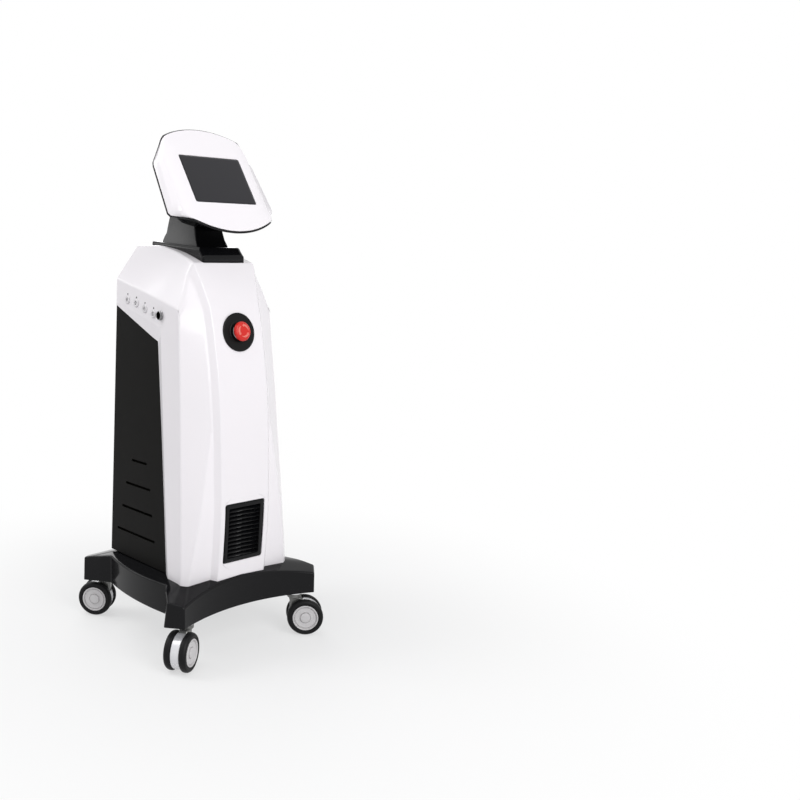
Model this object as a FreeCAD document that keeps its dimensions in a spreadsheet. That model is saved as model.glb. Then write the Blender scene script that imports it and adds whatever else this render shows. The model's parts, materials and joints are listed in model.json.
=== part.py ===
"""Compression therapy pump: a cabinet on four twin-wheel casters with a tilted display head.

Frame: millimetres, +X right, +Y back, +Z up. The origin is on the floor under the middle
of the base. The front, with the emergency stop and the grille, faces -Y.
"""
import FreeCAD, Part
import math
import os
import re

import Sketcher

V = FreeCAD.Vector
Turn = FreeCAD.Rotation
Place = FreeCAD.Placement
X_AXIS, Y_AXIS, Z_AXIS = V(1, 0, 0), V(0, 1, 0), V(0, 0, 1)

SIZES = {
    # fits and walls
    "seat_gap": 0.3, "running_fit": 0.05, "snug_fit": 0.02, "shell_wall": 3.0,
    # casters
    "wheel_radius": 37.5, "tread_width": 13.5, "hub_radius": 26.5, "hood_radius": 34.0,
    "hood_width": 18.4, "wheel_side_gap": 0.3, "axle_radius": 4.0, "hub_cap_wall": 2.5,
    "caster_trail": 22.0, "swivel_radius": 6.0, "swivel_length": 24.0, "collar_radius": 15.0,
    "collar_height": 7.5, "flange_height": 4.7, "stud_radius": 5.0, "stud_length": 12.0,
    "front_caster_x": 137.0, "front_caster_y": 155.0,
    "rear_caster_x": 132.0, "rear_caster_y": 159.0,
    # base
    "base_bottom": 89.0, "leg_corner_x": 163.0, "leg_corner_y": 187.0, "leg_outer_x": 185.0,
    "leg_outer_y": 152.0, "front_bow_y": 153.0, "apron_bulge_x": 160.0, "apron_end_x": 150.0,
    "apron_end_y": 107.0, "leg_round": 5.0, "apron_round": 14.0, "leg_top": 131.0,
    "leg_slope": 0.25, "side_slope": 0.19, "front_slope": 0.88, "cap_top": 157.0,
    "side_drop": 6.0, "front_run": 4.0,
    "plate_thickness": 4.0, "boss_radius": 12.0, "boss_height": 14.0,
    "duct_half_x": 104.0, "duct_front": 90.0, "duct_back": 128.0,
    # tower
    "foot_half_width": 132.4, "foot_height": 150.0, "shoulder_half_width": 111.0,
    "shoulder_height": 672.0, "band_half_width": 58.0, "band_chamfer": 10.5,
    "tower_back": 136.5, "crown_front_y": 89.0, "crown_front": 763.0, "crown_mid": 784.0,
    "crown_mid_y": 26.0, "crown_top": 799.0, "crown_top_y": 60.0, "eave_rise": 0.24,
    "eave_middle": 696.7,
    "belly_height": 301.0, "chest_height": 450.0, "waist_height": 550.0,
    "apex_height": 610.0, "brow_height": 720.0, "crest_height": 815.0,
    "foot_reach": 149.0, "belly_reach": 161.0, "chest_reach": 158.0, "waist_reach": 149.5,
    "apex_reach": 139.5, "shoulder_reach": 126.0, "brow_reach": 108.0, "crest_reach": 63.0,
    "foot_corner": 130.0, "belly_corner": 122.0, "chest_corner": 112.0, "waist_corner": 105.0,
    "apex_corner": 100.0, "shoulder_corner": 95.0, "brow_corner": 84.0, "crest_corner": 50.0,
    "foot_blade": 121.0, "belly_blade": 97.0, "chest_blade": 72.5, "blade_edge": 69.5,
    # side recess and panel
    "recess_depth": 6.0, "panel_thickness": 3.0, "rim_depth": 12.0, "ledge": 9.0,
    "recess_foot_y": 84.5, "recess_knee_y": 60.0, "recess_top_y": 33.0,
    "recess_top": 639.0, "recess_back_top": 685.0, "panel_foot": 153.5,
    "panel_foot_y": 73.0, "panel_knee_y": 51.0, "panel_knee": 381.0, "panel_top_y": 24.0,
    "panel_top": 612.0, "panel_back_top": 677.0, "louvre_height": 6.0,
    "louvre_pitch": 51.0, "louvre_lowest": 207.0,
    # back plate
    "back_thickness": 3.0, "screw_radius": 2.0, "screw_head_radius": 4.0, "screw_length": 10.0,
    "fan_size": 92.0, "fan_depth": 25.0, "fan_height": 520.0, "fan_bore": 43.0,
    "fan_tip_gap": 1.5, "fan_hub_radius": 17.0, "fan_shaft_radius": 2.5,
    "inlet_x": 62.0, "inlet_height": 205.0, "inlet_width": 30.0, "inlet_tall": 22.0,
    "switch_x": 12.0, "switch_width": 24.0, "switch_tall": 22.0, "rocker_radius": 8.6,
    "rocker_width": 14.0, "rocker_tilt": 10.0,
    # front controls
    "button_height": 631.0, "button_tilt": 11.5, "estop_disc_radius": 37.5,
    "estop_disc_thickness": 3.0, "estop_collar_radius": 15.0, "barrel_radius": 11.0,
    "estop_stem_radius": 8.0, "mushroom_radius": 19.5, "mushroom_height": 8.0,
    "estop_collar_rise": 3.5, "estop_travel": 4.5, "estop_rest_gap": 0.5, "grille_half_width": 47.5,
    "grille_bottom": 184.0, "grille_top": 301.0, "grille_thickness": 6.0, "grille_slats": 12,
    # ports
    "port_flange_radius": 8.5, "port_flange": 2.5, "port_bore_radius": 4.0,
    "port_bore_depth": 12.0, "port_barrel_radius": 6.0, "port_duct_radius": 2.2,
    "barb_radius": 3.6, "barb_length": 10.0, "port_barrel_length": 14.0,
    "hose_wall": 1.6, "hose_bend": 22.0, "lamp_radius": 1.75, "lamp_rise": 11.5,
    "socket_radius": 9.5, "socket_proud": 6.0, "socket_bore_radius": 6.5,
    "socket_depth": 14.0, "socket_y": -34.0, "socket_height": 662.0,
    # chassis
    "post_x": 88.0, "post_front_y": 72.0, "post_back_y": 112.0, "post_size": 16.0,
    "low_shelf": 150.0, "mid_shelf": 400.0, "top_shelf": 590.0, "shelf_thickness": 3.0,
    "manifold_x": 66.0, "manifold_width": 24.0, "manifold_height": 22.0,
    "manifold_front": -22.0, "manifold_back": 103.0, "spigot_height": 6.0,
    "valve_radius": 9.0, "valve_length": 30.0, "motor_radius": 40.0, "motor_length": 110.0,
    "mount_radius": 10.0, "mount_height": 15.0, "supply_width": 70.0, "supply_depth": 150.0,
    "supply_height": 44.0, "board_width": 80.0, "board_depth": 130.0, "standoff": 8.0,
    # neck
    "collar_half_width": 47.5, "collar_front": 89.0, "collar_back": 89.0,
    "collar_face_rise": 14.0, "collar_ridge_rise": 7.0, "collar_back_rise": 7.0,
    "collar_ridge_y": 75.0, "neck_wall": 3.0,
    "neck_foot_half": 34.0, "neck_foot_front": 55.0, "neck_foot_back": 75.0,
    "neck_waist_half": 28.0, "neck_waist_front": 36.0, "neck_waist_back": 61.0,
    "neck_foot": 800.0, "neck_waist": 840.0, "neck_rise": 925.0, "neck_tip_half": 26.0,
    "neck_tip_back": 26.0, "post_radius": 14.0, "post_y": 5.0, "neck_hole_gap": 4.0,
    # head
    "head_y": -69.0, "head_height": 921.5, "head_lean": 33.4, "face_top": 120.0,
    "face_top_corner_x": 92.0, "face_top_corner": 96.0, "face_half_width": 103.0,
    "face_side_top": 66.0, "face_side_bottom": 80.0, "face_bottom_corner_x": 92.0,
    "face_bottom_corner": 92.5, "face_bottom": 119.0, "front_depth": 28.0,
    "rim_half_width": 123.5, "rim_side_top": 43.0, "rim_side_bottom": 62.0,
    "rim_corner_x": 97.0, "rim_top_corner": 90.0, "rim_bottom_corner": 84.0,
    "rim_top": 119.0, "rim_bottom": 99.0, "back_depth": 75.0, "back_half_width": 88.0,
    "back_top": 82.0, "back_bottom": 60.0, "back_corner_x": 66.0, "back_corner_inset": 12.0,
    "window_half_width": 72.5, "window_half_height": 55.0, "glass_thickness": 2.5,
    "module_border": 5.0, "module_thickness": 9.0,
}

PORTS = {"port_1": (91.0, 689.0), "port_2": (57.0, 683.0), "port_3": (24.0, 673.0),
         "port_4": (-8.0, 664.0)}
CASTERS = {"front_left": ("-front_caster_x", "-front_caster_y", 211.2),
           "front_right": ("front_caster_x", "-front_caster_y", -37.5),
           "rear_left": ("-rear_caster_x", "rear_caster_y", 131.3),
           "rear_right": ("rear_caster_x", "rear_caster_y", 48.7)}
LEVELS = ("foot", "belly", "chest", "waist", "apex", "shoulder", "brow", "crest")
REACH = 900.0

for name, (across, up) in PORTS.items():
    SIZES[name + "_y"] = across
    SIZES[name + "_height"] = up

doc = FreeCAD.newDocument("CompressionPump")
sheet = doc.addObject("Spreadsheet::Sheet", "Sizes")
for row, (alias, value) in enumerate(SIZES.items(), start=1):
    sheet.set(f"A{row}", alias)
    sheet.set(f"B{row}", str(value))
    sheet.setAlias(f"B{row}", alias)
doc.recompute()

ALIAS = re.compile(r"\b(" + "|".join(SIZES) + r")\b")
NODES = {}


def bound(text):
    """An expression for setExpression, with each alias read from the sheet."""
    return ALIAS.sub(r"Sizes.\1", str(text))


def mm(text):
    """The present value of an expression of aliases."""
    return float(sheet.evalExpression(str(text)))


def node(label, item):
    """Registers an object as a sub-part with its own label and file."""
    item.Label = label
    NODES[label] = item
    return item


# ---------------------------------------------------------------- building blocks

def seat(item, corner, turn=Turn()):
    """Turns an object and binds its position to the sheet."""
    item.Placement = Place(V(*(mm(text) for text in corner)), turn)
    for letter, text in zip("xyz", corner):
        item.setExpression("Placement.Base." + letter, bound(text))
    return item


def box(size, corner, turn=Turn()):
    """A block with its lowest corner at the given place."""
    item = doc.addObject("Part::Box", "Block")
    for prop, text in zip(("Length", "Width", "Height"), size):
        item.setExpression(prop, bound(text))
    return seat(item, corner, turn)


ALONG = {"x": Turn(Y_AXIS, 90), "y": Turn(X_AXIS, -90), "z": Turn()}


def cylinder(radius, length, start, along="z"):
    """A round bar that starts at a point and runs along +x, +y or +z."""
    item = doc.addObject("Part::Cylinder", "Bar")
    item.setExpression("Radius", bound(radius))
    item.setExpression("Height", bound(length))
    return seat(item, start, ALONG[along])


def fuse(*items):
    """Joins objects into one solid."""
    item = doc.addObject("Part::MultiFuse", "Joined")
    item.Shapes = list(items)
    return item


def cut(base, *tools):
    """Takes one or more tools away from a base."""
    item = doc.addObject("Part::Cut", "Shaped")
    item.Base = base
    item.Tool = tools[0] if len(tools) == 1 else fuse(*tools)
    return item


def group(*items):
    """Keeps like pieces as separate solids in one node."""
    item = doc.addObject("Part::Compound", "Set")
    item.Links = list(items)
    return item


def placed(item, place):
    """Puts a finished object at a worked-out place."""
    item.Placement = place
    return item


def feature(shape, place=Place()):
    """An object for a sculpted shape that neither a sketch nor a primitive gives."""
    item = doc.addObject("Part::Feature", "Sculpted")
    item.Shape = shape
    item.Placement = place.multiply(shape.Placement)
    return item


def sketch(body, role, points):
    """A closed polygon whose corners are bound to the sheet, on one of the body's planes."""
    plane = [item for item in body.Origin.OriginFeatures if item.Role == role][0]
    drawing = body.newObject("Sketcher::SketchObject", "Outline")
    drawing.AttachmentSupport = (plane, "")
    drawing.MapMode = "FlatFace"
    corners = [V(mm(across), mm(up), 0) for across, up in points]
    for index, corner in enumerate(corners):
        following = corners[(index + 1) % len(corners)]
        drawing.addGeometry(Part.LineSegment(corner, following), False)
    for index in range(len(corners)):
        following = (index + 1) % len(corners)
        drawing.addConstraint(Sketcher.Constraint("Coincident", index, 2, following, 1))
    for index, (corner, texts) in enumerate(zip(corners, points)):
        for kind, value, text in zip(("DistanceX", "DistanceY"), corner, texts):
            number = drawing.addConstraint(Sketcher.Constraint(kind, -1, 1, index, 1, value))
            drawing.setExpression(f"Constraints[{number}]", bound(text))
    return drawing


def turned(points, place=Place()):
    """A body turned from a half outline of (radius, height) about its own Z axis."""
    body = doc.addObject("PartDesign::Body", "Turned")
    drawing = sketch(body, "XZ_Plane", points)
    turning = body.newObject("PartDesign::Revolution", "Turning")
    turning.Profile = drawing
    turning.ReferenceAxis = (drawing, ["V_Axis"])
    turning.Angle = 360
    body.Placement = place
    return body


def padded(role, points, length, place=Place()):
    """A body padded from a polygon."""
    body = doc.addObject("PartDesign::Body", "Padded")
    pad = body.newObject("PartDesign::Pad", "Thickness")
    pad.Profile = sketch(body, role, points)
    pad.setExpression("Length", bound(length))
    body.Placement = place
    return body


def polygon(points):
    """A closed wire through the points."""
    return Part.makePolygon([V(*point) for point in points] + [V(*points[0])])


def beyond(point, outward):
    """A very large block on the outer side of a plane."""
    block = Part.makeBox(2 * REACH, 2 * REACH, REACH, V(-REACH, -REACH, 0))
    block.Placement = Place(point, Turn(Z_AXIS, outward))
    return block


def mirrored(shape):
    """The shape on the other flank."""
    return shape.mirror(V(), X_AXIS)


# ---------------------------------------------------------------- casters

def hub_outline():
    """Half section of a wheel hub: a cup whose closed face looks away from the hood."""
    bore = "axle_radius + running_fit"
    dish = "tread_width - 1.5"
    floor = "tread_width - 1.5 - hub_cap_wall"
    return [(bore, "0"), ("hub_radius", "0"), ("hub_radius", "tread_width"),
            ("hub_radius - 2", "tread_width"), ("hub_radius - 4", dish), ("0", dish),
            ("0", floor), (bore, floor)]


def tyre_outline():
    """Half section of a tyre with a flat tread and eased shoulders."""
    inner = "hub_radius + snug_fit"
    return [(inner, "0"), ("wheel_radius - 1.5", "0"), ("wheel_radius", "1.5"),
            ("wheel_radius", "tread_width - 4"), ("wheel_radius - 1", "tread_width - 1.6"),
            ("wheel_radius - 3.5", "tread_width"), (inner, "tread_width")]


def caster_hood(place):
    """The swivelling hood between the two wheels, with its swivel and axle bores."""
    half = "hood_width / 2"
    disc = cylinder("hood_radius", "hood_width", ("caster_trail", "-" + half, "wheel_radius"), "y")
    web_base = "wheel_radius + 2"
    web_top = "base_bottom - flange_height - seat_gap - collar_height + 1"
    web = box(("caster_trail + 9", "hood_width", f"{web_top} - ({web_base})"),
              ("-9", "-" + half, web_base))
    top = "base_bottom - flange_height - seat_gap - collar_height"
    cap = cylinder("collar_radius", "collar_height", ("0", "0", top))
    swivel = cylinder("swivel_radius + running_fit", "swivel_length + 30",
                      ("0", "0", "base_bottom - flange_height - swivel_length - 1"))
    axle = cylinder("axle_radius + snug_fit", "hood_width + 2",
                    ("caster_trail", "-hood_width / 2 - 1", "wheel_radius"), "y")
    return placed(cut(fuse(disc, web, cap), swivel, axle), place)


def caster_stem(x, y):
    """A fixed swivel stem: pin, flange against the plate and stud through it."""
    pin_start = "-flange_height - swivel_length"
    outline = [("0", pin_start), ("swivel_radius", pin_start),
               ("swivel_radius", "-flange_height"), ("collar_radius", "-flange_height"),
               ("collar_radius", "0"), ("stud_radius", "0"), ("stud_radius", "stud_length"),
               ("0", "stud_length")]
    return turned(outline, Place(V(mm(x), mm(y), mm("base_bottom")), Turn()))


def build_caster(name, x, y, bearing):
    """One twin-wheel caster: hood, axle, two hubs and two tyres."""
    swivel = Place(V(mm(x), mm(y), 0), Turn(Z_AXIS, bearing))
    node(f"caster_{name}_housing", caster_hood(swivel))
    wheel_start = "hood_width / 2 + wheel_side_gap"
    half_axle = f"{wheel_start} + tread_width - 1.5 - hub_cap_wall - seat_gap"
    axle = cylinder("axle_radius", f"2 * ({half_axle})", ("0", "0", "0"), "y")
    axle_place = Place(V(mm("caster_trail"), -mm(half_axle), mm("wheel_radius")), ALONG["y"])
    node(f"caster_{name}_axle", placed(free(axle), swivel * axle_place))
    for letter, side in (("a", -1), ("b", 1)):
        centre = V(mm("caster_trail"), side * mm(wheel_start), mm("wheel_radius"))
        wheel = swivel * Place(centre, Turn(X_AXIS, -90 * side))
        node(f"caster_{name}_hub_{letter}", turned(hub_outline(), wheel))
        node(f"caster_{name}_tyre_{letter}", turned(tyre_outline(), wheel))


def free(item):
    """Lets go of an object's bound position, so that it can ride on its caster."""
    for letter in "xyz":
        item.setExpression("Placement.Base." + letter, None)
    return item


# ---------------------------------------------------------------- base

def base_outline():
    """The plan of the base: four legs, bowed front and back, bulging aprons."""
    corner_x, corner_y = mm("leg_corner_x"), mm("leg_corner_y")
    outer_x, outer_y = mm("leg_outer_x"), mm("leg_outer_y")
    end_x, end_y = mm("apron_end_x"), mm("apron_end_y")
    edges = []
    for way in (-1, 1):
        ends = [V(way * -corner_x, way * corner_y, 0), V(way * corner_x, way * corner_y, 0)]
        edges.append(Part.Arc(ends[0], V(0, way * mm("front_bow_y"), 0), ends[1]).toShape())
        outer = V(way * outer_x, way * outer_y, 0)
        edges.append(Part.makeLine(ends[1], outer))
        edges.append(Part.makeLine(outer, V(way * end_x, way * end_y, 0)))
        bulge = V(way * mm("apron_bulge_x"), 0, 0)
        far = V(way * end_x, -way * end_y, 0)
        edges.append(Part.Arc(V(way * end_x, way * end_y, 0), bulge, far).toShape())
        edges.append(Part.makeLine(far, V(way * outer_x, -way * outer_y, 0)))
        edges.append(Part.makeLine(V(way * outer_x, -way * outer_y, 0),
                                   V(way * corner_x, -way * corner_y, 0)))
    return Part.Face(Part.Wire(Part.__sortEdges__(edges)))


def base_block(inset, lift):
    """The solid under the cover's surface, drawn in by an inset and raised by a lift."""
    face = base_outline()
    if inset:
        face = face.makeOffset2D(-inset)
    bottom = mm("base_bottom") - (1 if inset else 0)
    top = mm("cap_top") + lift
    block = face.extrude(V(0, 0, top - bottom))
    block.translate(V(0, 0, bottom))
    leg = V(mm("leg_corner_x"), mm("leg_corner_y"), 0)
    out = V(mm("leg_corner_y - leg_outer_y"), mm("leg_outer_x - leg_corner_x"), 0)
    out.normalize()
    for x_way in (-1, 1):
        for y_way in (-1, 1):
            point = V(x_way * leg.x, y_way * leg.y, mm("leg_top") + lift)
            normal = V(x_way * out.x * mm("leg_slope"), y_way * out.y * mm("leg_slope"), 1)
            block = block.cut(beyond(point, normal))
        side = V(x_way * mm("foot_half_width"), 0, mm("cap_top - side_drop") + lift)
        block = block.cut(beyond(side, V(x_way * mm("side_slope"), 0, 1)))
        front = V(0, x_way * mm("front_bow_y + front_run"), mm("cap_top") + lift)
        block = block.cut(beyond(front, V(0, x_way * mm("front_slope"), 1)))
    return block


def round_legs(block):
    """Eases the upright corners of the four legs and fills those beside the aprons."""
    corners = {"leg_round": [(mm("leg_corner_x"), mm("leg_corner_y")),
                             (mm("leg_outer_x"), mm("leg_outer_y"))],
               "apron_round": [(mm("apron_end_x"), mm("apron_end_y"))]}
    for radius, places in corners.items():
        upright = [edge for edge in block.Edges if stands_at(edge, places)]
        block = block.makeFillet(mm(radius), upright)
    return block


def stands_at(edge, places):
    """True for an upright edge at one of the places, mirrored to all quarters."""
    middle = edge.CenterOfMass
    ends = [vertex.Point for vertex in edge.Vertexes]
    if len(ends) != 2 or abs(ends[0].x - ends[1].x) + abs(ends[0].y - ends[1].y) > 0.01:
        return False
    return any(abs(abs(middle.x) - x) < 0.1 and abs(abs(middle.y) - y) < 0.1
               for x, y in places)


def build_base():
    """The steel plate with its caster bosses, and the moulded cover over it."""
    wall = mm("shell_wall")
    outer = round_legs(base_block(0, 0))
    inner = base_block(wall, -wall)
    duct_x, duct_front = mm("duct_half_x"), mm("duct_front")
    duct = Part.makeBox(2 * duct_x, duct_front + mm("duct_back"), REACH, V(-duct_x, -duct_front, 0))
    node("base_cover", feature(outer.cut(inner).cut(duct)))
    plate = base_outline().makeOffset2D(-(wall + mm("seat_gap")))
    plate = plate.extrude(V(0, 0, mm("plate_thickness")))
    plate.translate(V(0, 0, mm("base_bottom")))
    solids = [feature(plate)]
    holes = []
    for x, y, _ in CASTERS.values():
        solids.append(cylinder("boss_radius", "boss_height", (x, y, "base_bottom")))
        holes.append(cylinder("stud_radius + snug_fit", "boss_height + 2",
                              (x, y, "base_bottom - 1")))
    node("base_frame", cut(fuse(*solids), *holes))
    stems = [caster_stem(x, y) for x, y, _ in CASTERS.values()]
    node("caster_stems", group(*stems))
    return outer


# ---------------------------------------------------------------- tower

def flank(height):
    """Half width of the tower at a height."""
    run = mm("shoulder_height - foot_height")
    fall = mm("foot_half_width - shoulder_half_width") / run
    return mm("foot_half_width") - fall * (height - mm("foot_height"))


def front_reach(height):
    """How far the central band stands forward at a height."""
    knots = [(mm(f"{level}_height"), mm(f"{level}_reach")) for level in LEVELS]
    for (low, reach), (high, following) in zip(knots, knots[1:]):
        if height <= high:
            return reach + (following - reach) * (height - low) / (high - low)
    return knots[-1][1]


def tower_ring(level, wall):
    """One level of the tower: band, chamfers, blades, facets and flanks."""
    height = mm(f"{level}_height")
    reach, corner = -mm(f"{level}_reach"), -mm(f"{level}_corner")
    blade = mm(f"{level}_blade") if level in ("foot", "belly", "chest") else mm("blade_edge")
    band, chamfer = mm("band_half_width"), mm("band_chamfer")
    side = flank(height)
    back = mm("tower_back") + (60 if wall else 0)
    right = [(band - 0.41 * wall, reach + wall),
             (band + chamfer - 0.5 * wall, reach + chamfer + 0.9 * wall),
             (blade - 0.5 * wall, reach + chamfer + 0.9 * wall),
             (side - wall, corner + 0.4 * wall), (side - wall, back)]
    left = [(-x, y) for x, y in reversed(right)]
    return polygon([(x, y, height - (wall if level == "foot" else 0)) for x, y in right + left])


def crown_line(height_drop):
    """The crown's side view as (y, z), lowered by a drop."""
    front_y, mid_y, top_y = mm("crown_front_y"), mm("crown_mid_y"), mm("crown_top_y")
    front, mid, top = mm("crown_front"), mm("crown_mid"), mm("crown_top")
    overrun = mm("belly_reach")
    start = front - (mid - front) / (front_y - mid_y) * overrun
    line = [(-front_y - overrun, start), (-front_y, front), (-mid_y, mid), (top_y, top),
            (overrun, top)]
    return [(y, z - height_drop) for y, z in line]


def roof(drop):
    """Everything under the crown and its two sloping shoulders."""
    rings = []
    band = mm("band_half_width")
    for y, crown in crown_line(drop):
        eave = mm("eave_middle") + mm("eave_rise") * y - drop
        fall = (crown - eave) / mm("shoulder_half_width - band_half_width")
        out = 2 * band + band
        low = crown - fall * 2 * band
        rings.append(polygon([(-out, y, 0), (-out, y, low), (-band, y, crown),
                              (band, y, crown), (out, y, low), (out, y, 0)]))
    return Part.makeLoft(rings, True, True)


def tower_solid(wall):
    """The tower's outer form, or its inner room when a wall is given."""
    rings = [tower_ring(level, wall) for level in LEVELS]
    return Part.makeLoft(rings, True, True).common(roof(1.15 * wall))


def flank_point(y, z, depth):
    """A point on the left flank, moved inwards by a depth."""
    return (-(flank(z) - depth), y, z)


def panel_depth(y):
    """Depth of the side panel's face: full at the front edge, none at the back."""
    back, front = mm("tower_back"), -mm("panel_foot_y")
    return mm("recess_depth") * (back - y) / (back - front)


def panel_outline():
    """Corners of the side panel as (y, z), front foot first."""
    back, foot = mm("tower_back"), mm("panel_foot")
    return [(-mm("panel_foot_y"), foot), (-mm("panel_knee_y"), mm("panel_knee")),
            (-mm("panel_top_y"), mm("panel_top")), (back, mm("panel_back_top")), (back, foot)]


def recess_outline():
    """Corners of the recess at the flank's surface as (y, z)."""
    back, foot = mm("tower_back"), mm("panel_foot")
    return [(-mm("recess_foot_y"), foot), (-mm("recess_knee_y"), mm("panel_knee")),
            (-mm("recess_top_y"), mm("recess_top")), (back, mm("recess_back_top")), (back, foot)]


def grown(points, amount):
    """The outline with its front and top edges moved outwards, and run out at foot and back."""
    (foot_y, foot_z), (knee_y, knee_z), (top_y, top_z), (back_y, back_z), _ = points
    drop, run = 12.0, 5.0
    lean = (knee_y - foot_y) / (knee_z - foot_z)
    climb = (back_z - top_z) / (back_y - top_y)
    return [(foot_y - amount - lean * drop, foot_z - drop), (knee_y - amount, knee_z),
            (top_y - amount, top_z + amount), (back_y + run, back_z + amount + climb * run),
            (back_y + run, foot_z - drop)]


def panel_prism(points, near, far):
    """A prism on an outline between two depths behind the panel's face."""
    rings = [polygon([flank_point(y, z, panel_depth(y) + depth) for y, z in points])
             for depth in (near, far)]
    return Part.makeLoft(rings, True, True)


def side_rim():
    """The thick rim behind the left recess, which carries the panel."""
    points = grown(recess_outline(), mm("shell_wall"))
    rings = [polygon([flank_point(y, z, depth) for y, z in points])
             for depth in (-20, mm("rim_depth"))]
    return Part.makeLoft(rings, True, True)


def side_cavity():
    """What the left recess, the panel's seat and the opening behind it take away."""
    outline = panel_outline()
    seat_outline = grown(outline, mm("seat_gap"))
    surface = polygon([flank_point(y, z, -1) for y, z in grown(recess_outline(), 0)])
    floor = polygon([flank_point(y, z, panel_depth(y)) for y, z in seat_outline])
    bevel = Part.makeLoft([surface, floor], True, True)
    pocket = panel_prism(seat_outline, -8, mm("panel_thickness + seat_gap"))
    ledge = mm("ledge")
    window = [(y + ledge, z - (ledge if index == 2 else 0))
              for index, (y, z) in enumerate(outline[:3])]
    window += [(outline[3][0] - ledge, outline[3][1] - ledge), (outline[4][0] - ledge, outline[4][1])]
    window[0] = (window[0][0], outline[0][1] + ledge)
    window[4] = (window[4][0], outline[4][1] + ledge)
    opening = panel_prism(window, 0, 60)
    return bevel.fuse(pocket).fuse(opening)


def build_side_panels():
    """Two louvred panels that sit in the flank recesses."""
    plate = panel_prism(panel_outline(), 0, mm("panel_thickness"))
    half = mm("louvre_height") / 2
    spans = ((-32, 119), (-21, 101), (-11, 91), (4, 71))
    for index, (start, end) in enumerate(spans):
        height = mm("louvre_lowest") + index * mm("louvre_pitch") - half
        plate = plate.cut(Part.makeBox(60, end - start, 2 * half, V(-150, start, height)))
    node("left_side_panel", feature(plate))
    node("right_side_panel", feature(mirrored(plate)))


def button_place():
    """Frame of the emergency stop: its Z axis points out of the front."""
    height = mm("button_height")
    out = V(0, -math.cos(math.radians(mm("button_tilt"))), math.sin(math.radians(mm("button_tilt"))))
    return Place(V(0, -front_reach(height), height), Turn(Z_AXIS, out))


def grille_place():
    """Frame of the grille: X across, Y up the band, Z out of the front."""
    low, high = mm("grille_bottom"), mm("grille_top")
    foot = V(0, -front_reach(low), low)
    rise = V(0, -front_reach(high), high) - foot
    return Place(foot, Turn(X_AXIS, math.degrees(math.atan2(rise.z, rise.y)))), rise.Length


def port_place(y, height):
    """Frame of an air port: its Z axis points out of the left flank."""
    out = V(-1, 0, mm("foot_half_width - shoulder_half_width") / mm("shoulder_height - foot_height"))
    return Place(V(-flank(mm(height)), mm(y), mm(height)), Turn(Z_AXIS, out))


def bore(place, radius, depth=60):
    """A round hole tool through the shell at a frame."""
    tool = Part.makeCylinder(radius, depth, V(0, 0, -depth / 2))
    tool.Placement = place
    return tool


def build_front_cover(base):
    """The white shell: front, flanks and crown, with its recesses and openings."""
    wall, gap = mm("shell_wall"), mm("seat_gap")
    rim = side_rim()
    room = tower_solid(wall).cut(rim).cut(mirrored(rim))
    shell = tower_solid(0).cut(room)
    cavity = side_cavity()
    shell = shell.cut(cavity).cut(mirrored(cavity))
    raised = base.copy()
    raised.translate(V(0, 0, gap))
    shell = shell.cut(raised)
    place, rise = grille_place()
    half = mm("grille_half_width") + gap
    hole = Part.makeBox(2 * half, rise + 2 * gap, 40, V(-half, -gap, -20))
    hole.Placement = place
    shell = shell.cut(hole).cut(bore(button_place(), mm("barrel_radius") + gap))
    for name in PORTS:
        place = port_place(name + "_y", name + "_height")
        shell = shell.cut(bore(place, mm("port_barrel_radius + snug_fit"), 30))
        lamp = place * Place(V(mm("lamp_rise"), 0, 0), Turn())
        shell = shell.cut(bore(lamp, mm("lamp_radius + snug_fit"), 30))
    shell = shell.cut(bore(port_place("socket_y", "socket_height"),
                           mm("socket_bore_radius") + 1.5 + gap, 40))
    neck_hole = Part.makeCylinder(mm("post_radius + neck_hole_gap"), REACH,
                                 V(0, mm("post_y"), mm("shoulder_height")))
    node("front_cover", feature(shell.cut(neck_hole)))


def build_grille():
    """The louvred grille: a plate with sloping slots."""
    place, rise = grille_place()
    wide, thick = "grille_half_width", "grille_thickness"
    plate = box(("2 * " + wide, str(rise), thick), ("-" + wide, "0", "1 - " + thick))
    slots = []
    count = int(mm("grille_slats"))
    border = 6.0
    pitch = (rise - 2 * border) / count
    for index in range(count):
        start = border + index * pitch + 0.2 * pitch
        slots.append(box(("2 * grille_half_width - 12", str(0.6 * pitch), "grille_thickness + 2"),
                         ("6 - grille_half_width", str(start), "-grille_thickness")))
    node("vent_grille", placed(cut(plate, *slots), place))


# ---------------------------------------------------------------- back

def back_outline():
    """The back plate's outline as (x, z)."""
    foot, eave = mm("cap_top") + 1, mm("eave_middle") + mm("eave_rise") * mm("tower_back")
    right = [(flank(foot) - 0.5, foot), (flank(eave) - 0.5, eave - 0.5),
             (mm("band_half_width"), mm("crown_top") - 1)]
    return right + [(-x, z) for x, z in reversed(right)]


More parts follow.
